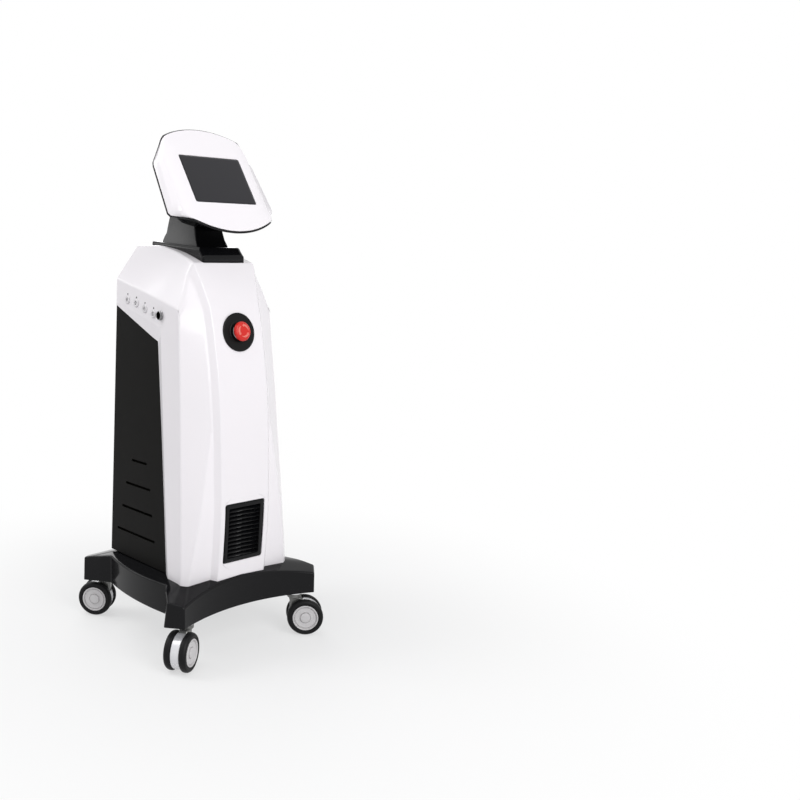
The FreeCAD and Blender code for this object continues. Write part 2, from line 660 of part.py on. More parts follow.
def build_back():
    """The back plate with its louvres, fan window, inlet cut-outs and screws."""
    start = mm("tower_back") + 0.05
    plate = Part.Face(polygon([(x, start, z) for x, z in back_outline()]))
    plate = feature(plate.extrude(V(0, mm("back_thickness"), 0)))
    deep = "back_thickness + 4"
    face = "tower_back - 2"
    tools = [cylinder("fan_bore", deep, ("0", face, "fan_height"), "y")]
    for x, wide, tall in (("inlet_x", "inlet_width", "inlet_tall"),
                          ("switch_x", "switch_width", "switch_tall")):
        size = (f"{wide} + 2 * seat_gap", deep, f"{tall} + 2 * seat_gap")
        corner = (f"{x} - {wide} / 2 - seat_gap", face, f"inlet_height - {tall} / 2 - seat_gap")
        tools.append(box(size, corner))
    for index in range(8):
        height = 300 + 20 * index
        tools.append(box(("140", deep, "7"), ("-70", face, str(height))))
    screws = []
    for x, height in (("-105", "190"), ("105", "190"), ("-100", "430"), ("100", "430"),
                      ("-88", "690"), ("88", "690")):
        tools.append(cylinder("screw_radius + snug_fit", deep, (x, face, height), "y"))
        outline = [("0", "-screw_length"), ("screw_radius", "-screw_length"),
                   ("screw_radius", "0"), ("screw_head_radius", "0"),
                   ("screw_head_radius - 1", "2.2"), ("0", "2.2")]
        head = V(mm(x), start + mm("back_thickness"), mm(height))
        screws.append(turned(outline, Place(head, Turn(X_AXIS, -90))))
    node("rear_cover", cut(plate, *tools))
    node("rear_screws", group(*screws))


def build_fan():
    """The extract fan: a square frame with a hub on struts, and a seven-blade rotor."""
    size, depth = "fan_size", "fan_depth"
    front = "tower_back - fan_depth"
    frame = box((size, depth, size), ("-fan_size / 2", front, "fan_height - fan_size / 2"))
    tunnel = cylinder("fan_bore", "fan_depth + 2", ("0", front + " - 1", "fan_height"), "y")
    motor = cylinder("fan_hub_radius", "5", ("0", front, "fan_height"), "y")
    shaft = cylinder("fan_shaft_radius", "fan_depth - 6", ("0", front + " + 4", "fan_height"), "y")
    struts = [box(("6", "4", size + " - 4"), ("-3", front, "fan_height - fan_size / 2 + 2")),
              box((size + " - 4", "4", "6"), ("-fan_size / 2 + 2", front, "fan_height - 3"))]
    node("fan_frame", fuse(cut(frame, tunnel), motor, shaft, *struts))
    start = front + " + 5 + seat_gap"
    length = "fan_depth - 8"
    hub = cylinder("fan_hub_radius", length, ("0", start, "fan_height"), "y")
    blades = []
    for index in range(7):
        blade = Part.makeBox(mm("fan_bore - fan_tip_gap - fan_hub_radius + 4"), 2.0, 15.0,
                             V(mm("fan_hub_radius") - 4, -1.0, -7.5))
        blade.rotate(V(), X_AXIS, 40)
        blade.rotate(V(), Y_AXIS, index * 360 / 7)
        blade.translate(V(0, mm(start) + mm(length) / 2, mm("fan_height")))
        rim = Part.makeCylinder(mm("fan_bore - fan_tip_gap"), mm(length), V(0, mm(start), mm("fan_height")), Y_AXIS)
        blades.append(feature(blade.common(rim)))
    hole = cylinder("fan_shaft_radius + running_fit", "fan_depth",
                    ("0", start + " - 1", "fan_height"), "y")
    node("fan_rotor", cut(fuse(hub, *blades), hole))


def build_mains():
    """One moulding with the mains inlet's three recessed pins and the power switch, and its rocker."""
    back = "tower_back + back_thickness + 0.05"
    body = box(("inlet_width", "26", "inlet_tall"),
               ("inlet_x - inlet_width / 2", back + " - 24", "inlet_height - inlet_tall / 2"))
    lip = box(("inlet_width + 6", "2", "inlet_tall + 6"),
              ("inlet_x - inlet_width / 2 - 3", back, "inlet_height - inlet_tall / 2 - 3"))
    cavity = box(("inlet_width - 6", "19", "inlet_tall - 6"),
                 ("inlet_x - inlet_width / 2 + 3", back + " - 16", "inlet_height - inlet_tall / 2 + 3"))
    pins = [box(("2", "12", "4"), (f"inlet_x + {x} - 1", back + " - 17", f"inlet_height + {z} - 2"))
            for x, z in ((-7, -2), (0, 3), (7, -2))]
    sleeve = box(("switch_width", "17", "switch_tall"),
                 ("switch_x - switch_width / 2", back + " - 15", "inlet_height - switch_tall / 2"))
    bezel = box(("inlet_x - switch_x", "2", "switch_tall + 6"),
                ("switch_x - switch_width / 2 - 3", back, "inlet_height - switch_tall / 2 - 3"))
    room = box(("rocker_width + 2 * seat_gap", "19", "2 * rocker_radius + 2 * seat_gap"),
               ("switch_x - rocker_width / 2 - seat_gap", back + " - 12",
                "inlet_height - rocker_radius - seat_gap"))
    pivot = cylinder("1.5 + running_fit", "rocker_width + 6",
                     ("switch_x - rocker_width / 2 - 3", back + " - 3", "inlet_height"), "x")
    housing = cut(fuse(body, lip, sleeve, bezel), cavity, room, pivot)
    node("mains_module", fuse(housing, *pins))
    centre = V(mm("switch_x"), mm(back) - 3, mm("inlet_height"))
    half = mm("rocker_width") / 2
    rocker = Part.makeCylinder(mm("rocker_radius"), 2 * half, V(-half, 0, 0), X_AXIS)
    slab = Part.makeBox(4 * half, 9, 60, V(-2 * half, -3.5, -30))
    pin = Part.makeCylinder(1.5, 2 * half + 4, V(-half - 2, 0, 0), X_AXIS)
    rocker = rocker.common(slab).fuse(pin)
    node("power_rocker", feature(rocker, Place(centre, Turn(X_AXIS, mm("rocker_tilt")))))


# ---------------------------------------------------------------- emergency stop

def build_estop():
    """Disc, collar with its barrel, contact block, sliding stem and twisting mushroom head."""
    place = button_place()
    face = "estop_disc_thickness"
    disc = [("barrel_radius + seat_gap", "seat_gap"), ("estop_disc_radius", "seat_gap"),
            ("estop_disc_radius", face + " - 1"), ("estop_disc_radius - 1", face),
            ("barrel_radius + seat_gap", face)]
    node("estop_plate", turned(disc, place))
    inner = "estop_stem_radius + running_fit"
    crown = face + " + estop_collar_rise"
    rest = crown + " + estop_travel + estop_rest_gap"
    collar = [(inner, "-16"), ("barrel_radius", "-16"), ("barrel_radius", face),
              ("estop_collar_radius", face), ("estop_collar_radius", crown + " - 1.5"),
              ("estop_collar_radius - 2", crown), (inner, crown)]
    node("estop_collar", turned(collar, place))
    block = box(("32", "44", "34"), ("-16", "-22", "-50"))
    node("estop_contact_block", placed(free(block), place * Place(V(-16, -22, -50), Turn())))
    spigot = "estop_stem_radius - 3"
    stem = [("0", "-10"), ("estop_stem_radius", "-10"), ("estop_stem_radius", rest),
            (spigot, rest), (spigot, rest + " + 4.5"), ("0", rest + " + 4.5")]
    node("estop_stem", turned(stem, place))
    seat_face = rest + " + seat_gap"
    top = rest + " + mushroom_height"
    head = [(spigot + " + running_fit", seat_face), ("mushroom_radius - 1", seat_face),
            ("mushroom_radius", seat_face + " + 1"), ("mushroom_radius", seat_face + " + 3.5"),
            ("mushroom_radius - 1.5", top + " - 1.8"), ("mushroom_radius - 5", top + " - 0.5"),
            ("mushroom_radius - 9", top), ("0", top), ("0", rest + " + 4.5 + seat_gap"),
            (spigot + " + running_fit", rest + " + 4.5 + seat_gap")]
    node("estop_mushroom", turned(head, place))


# ---------------------------------------------------------------- ports

def port_outline():
    """Half section of an air port: flange, stepped bore and hose barb."""
    back = "-port_barrel_length"
    end = "-port_barrel_length - barb_length"
    step = "port_flange - port_bore_depth"
    return [("port_bore_radius", "port_flange"), ("port_flange_radius - 0.8", "port_flange"),
            ("port_flange_radius", "port_flange - 0.8"), ("port_flange_radius", "seat_gap"),
            ("port_barrel_radius", "seat_gap"), ("port_barrel_radius", back),
            ("barb_radius", back), ("barb_radius", end), ("port_duct_radius", end),
            ("port_duct_radius", step), ("port_bore_radius", step)]


def hose(name):
    """A hose from a port's barb, bent down onto its spigot on the manifold."""
    place = port_place(name + "_y", name + "_height")
    start = place.multVec(V(0, 0, mm("-port_barrel_length - seat_gap")))
    inward = place.Rotation.multVec(V(0, 0, -1))
    x = -mm("manifold_x")
    corner = start + inward * ((x - start.x) / inward.x)
    end = V(x, start.y, mm("top_shelf + shelf_thickness + manifold_height + seat_gap"))
    leave, arrive = (start - corner).normalize(), (end - corner).normalize()
    turn = math.pi - leave.getAngle(arrive)
    reach = mm("hose_bend") * math.tan(turn / 2)
    first, last = corner + leave * reach, corner + arrive * reach
    bisector = (leave + arrive).normalize()
    middle = corner + bisector * (mm("hose_bend") / math.cos(turn / 2) - mm("hose_bend"))
    path = Part.Wire([Part.makeLine(start, first), Part.Arc(first, middle, last).toShape(),
                      Part.makeLine(last, end)])
    solids = []
    inner = mm("barb_radius + snug_fit")
    for radius in (inner + mm("hose_wall"), inner):
        ring = Part.Wire(Part.makeCircle(radius, start, inward))
        solids.append(path.makePipeShell([ring], True, True))
    return solids[0].cut(solids[1])


def build_ports():
    """Four air ports with lamps, valves and hoses, and the round control socket."""
    bodies, lamps, hoses, valves = [], [], [], []
    shelf = "top_shelf + shelf_thickness"
    manifold = box(("manifold_width", "manifold_back - manifold_front", "manifold_height"),
                   ("-manifold_x - manifold_width / 2", "manifold_front", shelf))
    spigots = []
    for name in PORTS:
        place = port_place(name + "_y", name + "_height")
        bodies.append(turned(port_outline(), place))
        lamp = [("0", "-8"), ("lamp_radius", "-8"), ("lamp_radius", "0.4"), ("0", "1.0")]
        lamps.append(turned(lamp, place * Place(V(mm("lamp_rise"), 0, 0), Turn())))
        hoses.append(feature(hose(name)))
        top = f"{shelf} + manifold_height - 1"
        spigots.append(cylinder("barb_radius", "spigot_height + 1", ("-manifold_x", name + "_y", top)))
        valves.append(cylinder("valve_radius", "valve_length",
                               ("-manifold_x + manifold_width / 2", name + "_y",
                                shelf + " + manifold_height / 2"), "x"))
    node("air_port_bodies", group(*bodies))
    node("air_port_lamps", group(*lamps))
    node("air_hoses", group(*hoses))
    node("valve_manifold", fuse(manifold, *spigots))
    node("solenoid_valves", group(*valves))
    place = port_place("socket_y", "socket_height")
    bore_radius = "socket_bore_radius"
    floor = "socket_proud - socket_depth"
    shell = [("0", "-12"), (bore_radius + " + 1.5", "-12"), (bore_radius + " + 1.5", "seat_gap"),
             ("socket_radius", "seat_gap"), ("socket_radius", "socket_proud - 1.5"),
             ("socket_radius - 1.5", "socket_proud"), (bore_radius, "socket_proud"),
             (bore_radius, floor), ("0", floor)]
    node("remote_socket", turned(shell, place))


# ---------------------------------------------------------------- chassis and its load

def build_chassis():
    """Four posts from the base plate and three shelves between them."""
    parts = []
    start = "base_bottom + plate_thickness"
    half = "post_size / 2"
    for x in ("-post_x", "post_x"):
        for y in ("-post_front_y", "post_back_y"):
            parts.append(box(("post_size", "post_size", f"top_shelf - ({start})"),
                             (f"{x} - {half}", f"{y} - {half}", start)))
    for level in ("low_shelf", "mid_shelf", "top_shelf"):
        parts.append(box(("2 * post_x + post_size", "post_front_y + post_back_y + post_size",
                          "shelf_thickness"),
                         (f"-post_x - {half}", f"-post_front_y - {half}", level)))
    node("chassis_frame", fuse(*parts))


def build_load():
    """Compressor on rubber mounts, power supply and control board."""
    shelf = "low_shelf + shelf_thickness"
    mounts = []
    for x in ("-55", "55"):
        for y in ("-45", "75"):
            mounts.append(cylinder("mount_radius", "mount_height", (x, y, shelf)))
    node("compressor_mounts", group(*mounts))
    base = shelf + " + mount_height"
    plate = box(("140", "150", "4"), ("-70", "-60", base))
    motor = cylinder("motor_radius", "motor_length",
                     ("0", "15 - motor_length / 2", base + " + 2 + motor_radius"), "y")
    heads = [box(("60", "26", "2 * motor_radius + 6"), ("-30", f"15 + {side} - 13", base + " + 2"))
             for side in (" motor_length / 2", "-motor_length / 2")]
    node("compressor_body", fuse(plate, motor, *heads))
    shelf = "mid_shelf + shelf_thickness"
    node("power_supply", box(("supply_width", "supply_depth", "supply_height"),
                             ("-10 - supply_width", "-55", shelf)))
    board_x, board_y = "5", "-45"
    top = shelf + " + standoff"
    board = box(("board_width", "board_depth", "1.6"), (board_x, board_y, top))
    posts = []
    for x in ("5", "board_width - 5"):
        for y in ("5", "board_depth - 5"):
            posts.append(cylinder("3", "standoff + 0.5", (f"{board_x} + {x}", f"{board_y} + {y}", shelf)))
    chips = [box(("24", "24", "5"), (f"{board_x} + 14", f"{board_y} + 20", top + " + 1")),
             box(("18", "40", "12"), (f"{board_x} + 50", f"{board_y} + 60", top + " + 1")),
             cylinder("7", "18", (f"{board_x} + 22", f"{board_y} + 90", top + " + 1"))]
    node("control_board", fuse(board, *posts, *chips))


# ---------------------------------------------------------------- neck and head

def collar_top(y):
    """Height of the neck collar's sloping top."""
    ridge_y = -mm("collar_ridge_y")
    ridge = mm("crown_mid + collar_ridge_rise")
    slope = (mm("crown_top + collar_back_rise") - ridge) / (mm("collar_back") - ridge_y)
    return ridge + slope * (y - ridge_y)


def head_place():
    """Frame of the head: X across, Y up the leaning face, Z out of the screen."""
    return Place(V(0, mm("head_y"), mm("head_height")), Turn(X_AXIS, 90 - mm("head_lean")))


def build_neck():
    """The collar on the crown, the hollow neck cover and the steel post inside."""
    gap = mm("seat_gap")
    half = mm("collar_half_width")
    front, back = -mm("collar_front"), mm("collar_back")
    buried = mm("crown_front") - 2 * mm("collar_face_rise")
    side = [(front, buried), (front, mm("crown_front + collar_face_rise")),
            (-mm("collar_ridge_y"), mm("crown_mid + collar_ridge_rise")),
            (back, mm("crown_top + collar_back_rise")), (back, buried)]
    block = Part.Face(polygon([(-half, y, z) for y, z in side])).extrude(V(2 * half, 0, 0))
    crown = tower_solid(0)
    crown.translate(V(0, 0, gap))
    hole = Part.makeCylinder(mm("post_radius + neck_hole_gap"), REACH, V(0, mm("post_y"), buried))
    node("neck_collar", feature(block.cut(crown).cut(hole)))
    post_y = mm("post_y")
    back_face = head_place().multVec(V(0, 0, -mm("back_depth") - gap))
    outward = head_place().Rotation.multVec(Z_AXIS)
    above = beyond(back_face, outward)
    covers = []
    for wall in (0, mm("neck_wall")):
        levels = [(mm("crown_front"), "foot", "foot", "foot"),
                  (mm("neck_foot"), "foot", "foot", "foot"),
                  (mm("neck_waist"), "waist", "waist", "waist"),
                  (mm("neck_rise") - 2 * wall, "tip", "waist", "tip")]
        rings = []
        for height, side_kind, front_kind, back_kind in levels:
            wide = mm(f"neck_{side_kind}_half") - wall
            near, far = wall - mm(f"neck_{front_kind}_front"), mm(f"neck_{back_kind}_back") - wall
            rings.append(polygon([(-wide, near, height), (wide, near, height),
                                  (wide, far, height), (-wide, far, height)]))
        covers.append(Part.makeLoft(rings, True, True))
    slope = math.degrees(math.atan(collar_top(1) - collar_top(0)))
    below = Part.makeBox(400, 400, 200, V(-200, -200, -200))
    below.Placement = Place(V(0, 0, collar_top(0) + gap), Turn(X_AXIS, slope))
    node("neck_cover", feature(covers[0].cut(covers[1]).cut(above).cut(below)))
    shelf = mm("top_shelf + shelf_thickness")
    post = Part.makeCylinder(mm("post_radius"), REACH - shelf + 60, V(0, post_y, shelf))
    flange = Part.makeCylinder(mm("post_radius") + 5, 5, V(0, post_y, shelf))
    room = Part.makeCylinder(mm("post_radius") - 2, REACH, V(0, post_y, shelf))
    node("neck_post", feature(post.fuse(flange).cut(room).cut(above)))


def head_ring(points, depth):
    """A closed outline at a depth behind the face, with arched top and bottom."""
    (top, top_corner, side_top, side_bottom, bottom_corner, bottom) = points
    right = [top_corner, side_top, side_bottom, bottom_corner]
    spots = [V(x, s, -depth) for x, s in right]
    mirror = [V(-spot.x, spot.y, -depth) for spot in reversed(spots)]
    apex, base = V(0, top, -depth), V(0, bottom, -depth)
    edges = [Part.Arc(mirror[-1], apex, spots[0]).toShape(),
             Part.makeLine(spots[0], spots[1]), Part.makeLine(spots[1], spots[2]),
             Part.makeLine(spots[2], spots[3]), Part.Arc(spots[3], base, mirror[0]).toShape(),
             Part.makeLine(mirror[0], mirror[1]), Part.makeLine(mirror[1], mirror[2]),
             Part.makeLine(mirror[2], mirror[3])]
    return Part.Wire(edges)


def face_points(inset):
    """Corners of the white face, drawn in by an inset."""
    return (mm("face_top") - inset,
            (mm("face_top_corner_x") - inset, mm("face_top_corner") - inset),
            (mm("face_half_width") - inset, mm("face_side_top")),
            (mm("face_half_width") - inset, -mm("face_side_bottom")),
            (mm("face_bottom_corner_x") - inset, inset - mm("face_bottom_corner")),
            inset - mm("face_bottom"))


def rim_points(inset):
    """Corners of the seam between the two head shells, drawn in by an inset."""
    return (mm("rim_top") - inset,
            (mm("rim_corner_x") - inset, mm("rim_top_corner") - inset),
            (mm("rim_half_width") - inset, mm("rim_side_top")),
            (mm("rim_half_width") - inset, -mm("rim_side_bottom")),
            (mm("rim_corner_x") - inset, inset - mm("rim_bottom_corner")),
            inset - mm("rim_bottom"))


def back_points(inset):
    """Corners of the flat back of the head, drawn in by an inset."""
    corner = mm("back_corner_inset")
    return (mm("back_top") - inset,
            (mm("back_corner_x") - inset, mm("back_top") - corner - inset),
            (mm("back_half_width") - inset, mm("back_top") - 3 * corner),
            (mm("back_half_width") - inset, 3 * corner - mm("back_bottom")),
            (mm("back_corner_x") - inset, corner + inset - mm("back_bottom")),
            inset - mm("back_bottom"))


def build_head():
    """Front and back shells, window glass and display module."""
    place = head_place()
    wall, gap, seam = mm("shell_wall"), mm("seat_gap"), mm("front_depth")
    wide, tall = mm("window_half_width"), mm("window_half_height")
    outer = Part.makeLoft([head_ring(face_points(0), 0), head_ring(rim_points(0), seam)], True, True)
    inner = Part.makeLoft([head_ring(face_points(wall + 1), wall),
                           head_ring(rim_points(wall), seam)], True, True)
    window = Part.makeBox(2 * wide, 2 * tall, 40, V(-wide, -tall, -20))
    node("head_front_shell", feature(outer.cut(inner).cut(window), place))
    start, end = seam + gap, mm("back_depth")
    outer = Part.makeLoft([head_ring(rim_points(0), start), head_ring(back_points(0), end)], True, True)
    inner = Part.makeLoft([head_ring(rim_points(wall), start),
                           head_ring(back_points(wall), end - wall)], True, True)
    port = place.inverse().multVec(V(0, mm("post_y"), mm("head_height")))
    cable = Part.makeCylinder(7, 60, V(0, port.y - 40, -end - 20))
    node("head_back_shell", feature(outer.cut(inner).cut(cable), place))
    glass = box(("2 * window_half_width - 2 * seat_gap", "2 * window_half_height - 2 * seat_gap",
                 "glass_thickness"), ("0", "0", "0"))
    corner = V(gap - wide, gap - tall, -mm("shell_wall"))
    node("display_glass", placed(free(glass), place * Place(corner, Turn())))
    border = mm("module_border")
    module = box(("2 * window_half_width + 2 * module_border",
                  "2 * window_half_height + 2 * module_border", "module_thickness"),
                 ("0", "0", "0"))
    corner = V(-wide - border, -tall - border, -mm("shell_wall + module_thickness + seat_gap"))
    node("display_module", placed(free(module), place * Place(corner, Turn())))


# ---------------------------------------------------------------- assembly

def export():
    """Checks every object, then writes each sub-part's solid."""
    doc.recompute()
    for item in doc.Objects:
        if "Invalid" in item.State or "Error" in item.State:
            raise RuntimeError(f"{item.Name} {item.Label}: {item.State}")
    os.makedirs("parts", exist_ok=True)
    for label, item in NODES.items():
        shape = item.Shape
        if shape.isNull() or not shape.isValid():
            raise RuntimeError(f"{label} has no valid shape")
        shape.exportStep(f"parts/{label}.step")
    print(len(NODES), "nodes")


base_form = build_base()
for caster, (at_x, at_y, bearing) in CASTERS.items():
    build_caster(caster, at_x, at_y, bearing)
build_front_cover(base_form)
build_side_panels()
build_grille()
build_back()
build_fan()
build_mains()
build_estop()
build_ports()
build_chassis()
build_load()
build_neck()
build_head()
export()
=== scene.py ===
"""Looks of a compression therapy pump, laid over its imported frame.

Sizes in the classes are in millimetres and angles in degrees: +X right, +Y back, +Z up, with
the origin on the floor under the middle of the base. Meshes are written in metres.
"""

import json
import logging
import math
from dataclasses import dataclass, field
from enum import Enum
from typing import Any, Callable, Iterable, Sequence

import bmesh
import bpy
from mathutils import Matrix, Vector

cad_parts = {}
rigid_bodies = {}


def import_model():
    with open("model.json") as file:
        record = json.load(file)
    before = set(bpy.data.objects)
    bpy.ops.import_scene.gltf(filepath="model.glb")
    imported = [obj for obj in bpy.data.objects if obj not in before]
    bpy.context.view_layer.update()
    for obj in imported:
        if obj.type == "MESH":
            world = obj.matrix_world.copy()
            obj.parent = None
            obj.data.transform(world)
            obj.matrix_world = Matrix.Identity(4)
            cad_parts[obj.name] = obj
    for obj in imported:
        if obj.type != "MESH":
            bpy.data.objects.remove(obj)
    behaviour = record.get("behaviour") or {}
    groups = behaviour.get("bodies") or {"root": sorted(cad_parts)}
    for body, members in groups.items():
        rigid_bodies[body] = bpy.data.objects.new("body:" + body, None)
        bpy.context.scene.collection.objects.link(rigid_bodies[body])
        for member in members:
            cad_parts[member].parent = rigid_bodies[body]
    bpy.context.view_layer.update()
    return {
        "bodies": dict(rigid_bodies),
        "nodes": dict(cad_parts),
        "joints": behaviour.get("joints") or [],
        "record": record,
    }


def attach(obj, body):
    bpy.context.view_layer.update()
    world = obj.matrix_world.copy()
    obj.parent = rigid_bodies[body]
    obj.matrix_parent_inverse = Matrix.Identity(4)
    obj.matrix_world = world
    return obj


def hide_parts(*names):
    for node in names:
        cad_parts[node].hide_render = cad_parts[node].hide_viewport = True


LOG = logging.getLogger("compression_pump")
METRE = 0.001
TINY = 1e-9
MERGE_DISTANCE = 0.0005
LONGEST_ROUNDING = 0.49
X_AXIS = Vector((1, 0, 0))
Y_AXIS = Vector((0, 1, 0))
Z_TO_BACK = Matrix.Rotation(math.radians(-90), 4, "X")
Spot = tuple[float, float]
Point = tuple[float, float, float]
Item = bpy.types.Object
Vert = bmesh.types.BMVert


# ---- plain geometry

@dataclass(frozen=True)
class Curve:
    """A smooth line through knots that never overshoots them."""

    knots: tuple[Spot, ...]

    def slopes(self) -> list[float]:
        """Works out the line's slopes.

        Returns:
            The slope at each knot.
        """
        runs = [b[0] - a[0] for a, b in zip(self.knots, self.knots[1:])]
        falls = [(b[1] - a[1]) / run for a, b, run in zip(self.knots, self.knots[1:], runs)]
        inner = []
        for before, after, left, right in zip(falls, falls[1:], runs, runs[1:]):
            if before * after <= 0:
                inner.append(0.0)
            else:
                first, second = 2 * right + left, right + 2 * left
                inner.append((first + second) / (first / before + second / after))
        return [falls[0]] + inner + [falls[-1]]

    def at(self, where: float) -> float:
        """Value of the line at a place.

        Args:
            where: place along the line, which may lie beyond its ends.

        Returns:
            The value there, run on straight beyond the ends.
        """
        knots, slopes = self.knots, self.slopes()
        if where <= knots[0][0]:
            return knots[0][1] + slopes[0] * (where - knots[0][0])
        if where >= knots[-1][0]:
            return knots[-1][1] + slopes[-1] * (where - knots[-1][0])
        index = max(k for k in range(len(knots) - 1) if where > knots[k][0])
        low, high = knots[index:index + 2]
        run = high[0] - low[0]
        t = (where - low[0]) / run
        return ((1 + 2 * t) * (1 - t) ** 2 * low[1] + t * (1 - t) ** 2 * run * slopes[index]
                + t * t * (3 - 2 * t) * high[1] + t * t * (t - 1) * run * slopes[index + 1])


def straight(knots: Sequence[Spot], where: float) -> float:
    """Value of straight runs between knots at a place.

    Args:
        knots: (place, value) of each knot, in order.
        where: place along the runs, which may lie beyond their ends.

    Returns:
        The value there, run on beyond the ends.
    """
    for low, high in zip(knots, knots[1:]):
        if where <= high[0] or high is knots[-1]:
            return low[1] + (high[1] - low[1]) * (where - low[0]) / (high[0] - low[0])
    return knots[-1][1]


def clamp(value: float) -> float:
    """The value, held between 0 and 1."""
    return max(0.0, min(1.0, value))


def between(first: float, second: float, share: float) -> float:
    """Value at a share of the way between two values."""
    return first + (second - first) * share


def midway(first: Sequence[float], second: Sequence[float], share: float) -> tuple[float, ...]:
    """Spot or point at a share of the way between two others."""
    return tuple(between(a, b, share) for a, b in zip(first, second))


def rounded(corners: Sequence[Point], steps: int = 5, closed: bool = True) -> list[Spot]:
    """Rounds the corners of a flat outline.

    Args:
        corners: (a, b, radius) of each corner.
        steps: number of runs that each rounding gets.
        closed: whether the last corner joins the first.

    Returns:
        Points of the eased outline.
    """
    points: list[Spot] = []
    count = len(corners)
    for index, (a, b, radius) in enumerate(corners):
        if radius <= 0 or (not closed and index in (0, count - 1)):
            points.append((a, b))
            continue
        here = Vector((a, b))
        before = Vector(corners[index - 1][:2]) - here
        after = Vector(corners[(index + 1) % count][:2]) - here
        slant = math.tan(before.angle(after) / 2)
        reach = min(radius / slant, LONGEST_ROUNDING * before.length,
                    LONGEST_ROUNDING * after.length)
        ways = before.normalized(), after.normalized()
        start, end = (here + way * reach for way in ways)
        centre = here + (ways[0] + ways[1]).normalized() * math.hypot(reach, reach * slant)
        turn = (start - centre).angle_signed(end - centre)
        for step in range(steps + 1):
            point = centre + Matrix.Rotation(-turn * step / steps, 2) @ (start - centre)
            points.append((point.x, point.y))
    return points


def oblong(left: float, low: float, right: float, high: float, radius: float,
           steps: int = 5) -> list[Spot]:
    """Outline of a rounded rectangle between two opposite corners."""
    return rounded(((left, low, radius), (right, low, radius),
                    (right, high, radius), (left, high, radius)), steps)


def circle(radius: float, steps: int) -> list[Spot]:
    """Spots on a circle about the origin."""
    turns = [math.tau * step / steps for step in range(steps)]
    return [(radius * math.cos(turn), radius * math.sin(turn)) for turn in turns]


def arc(first: Spot, middle: Spot, last: Spot, steps: int) -> list[Spot]:
    """Points on the arc through three spots.

    Args:
        first: where it starts.
        middle: a spot that it passes.
        last: where it ends.
        steps: number of runs.

    Returns:
        The points, with both ends.
    """
    a, b, c = Vector(first), Vector(middle), Vector(last)
    d = 2 * (a.x * (b.y - c.y) + b.x * (c.y - a.y) + c.x * (a.y - b.y))
    centre = Vector((
        (a.length_squared * (b.y - c.y) + b.length_squared * (c.y - a.y)
         + c.length_squared * (a.y - b.y)) / d,
        (a.length_squared * (c.x - b.x) + b.length_squared * (a.x - c.x)
         + c.length_squared * (b.x - a.x)) / d))
    turn = (a - centre).angle_signed(b - centre) + (b - centre).angle_signed(c - centre)
    spots = [centre + Matrix.Rotation(-turn * step / steps, 2) @ (a - centre)
             for step in range(steps + 1)]
    return [(spot.x, spot.y) for spot in spots]


def axes(place: Sequence[float], side: Vector, up: Vector, out: Vector) -> Matrix:
    """Frame at a place, from the ways that its X, Y and Z point."""
    return Matrix.Translation(place) @ Matrix((side, up, out)).transposed().to_4x4()


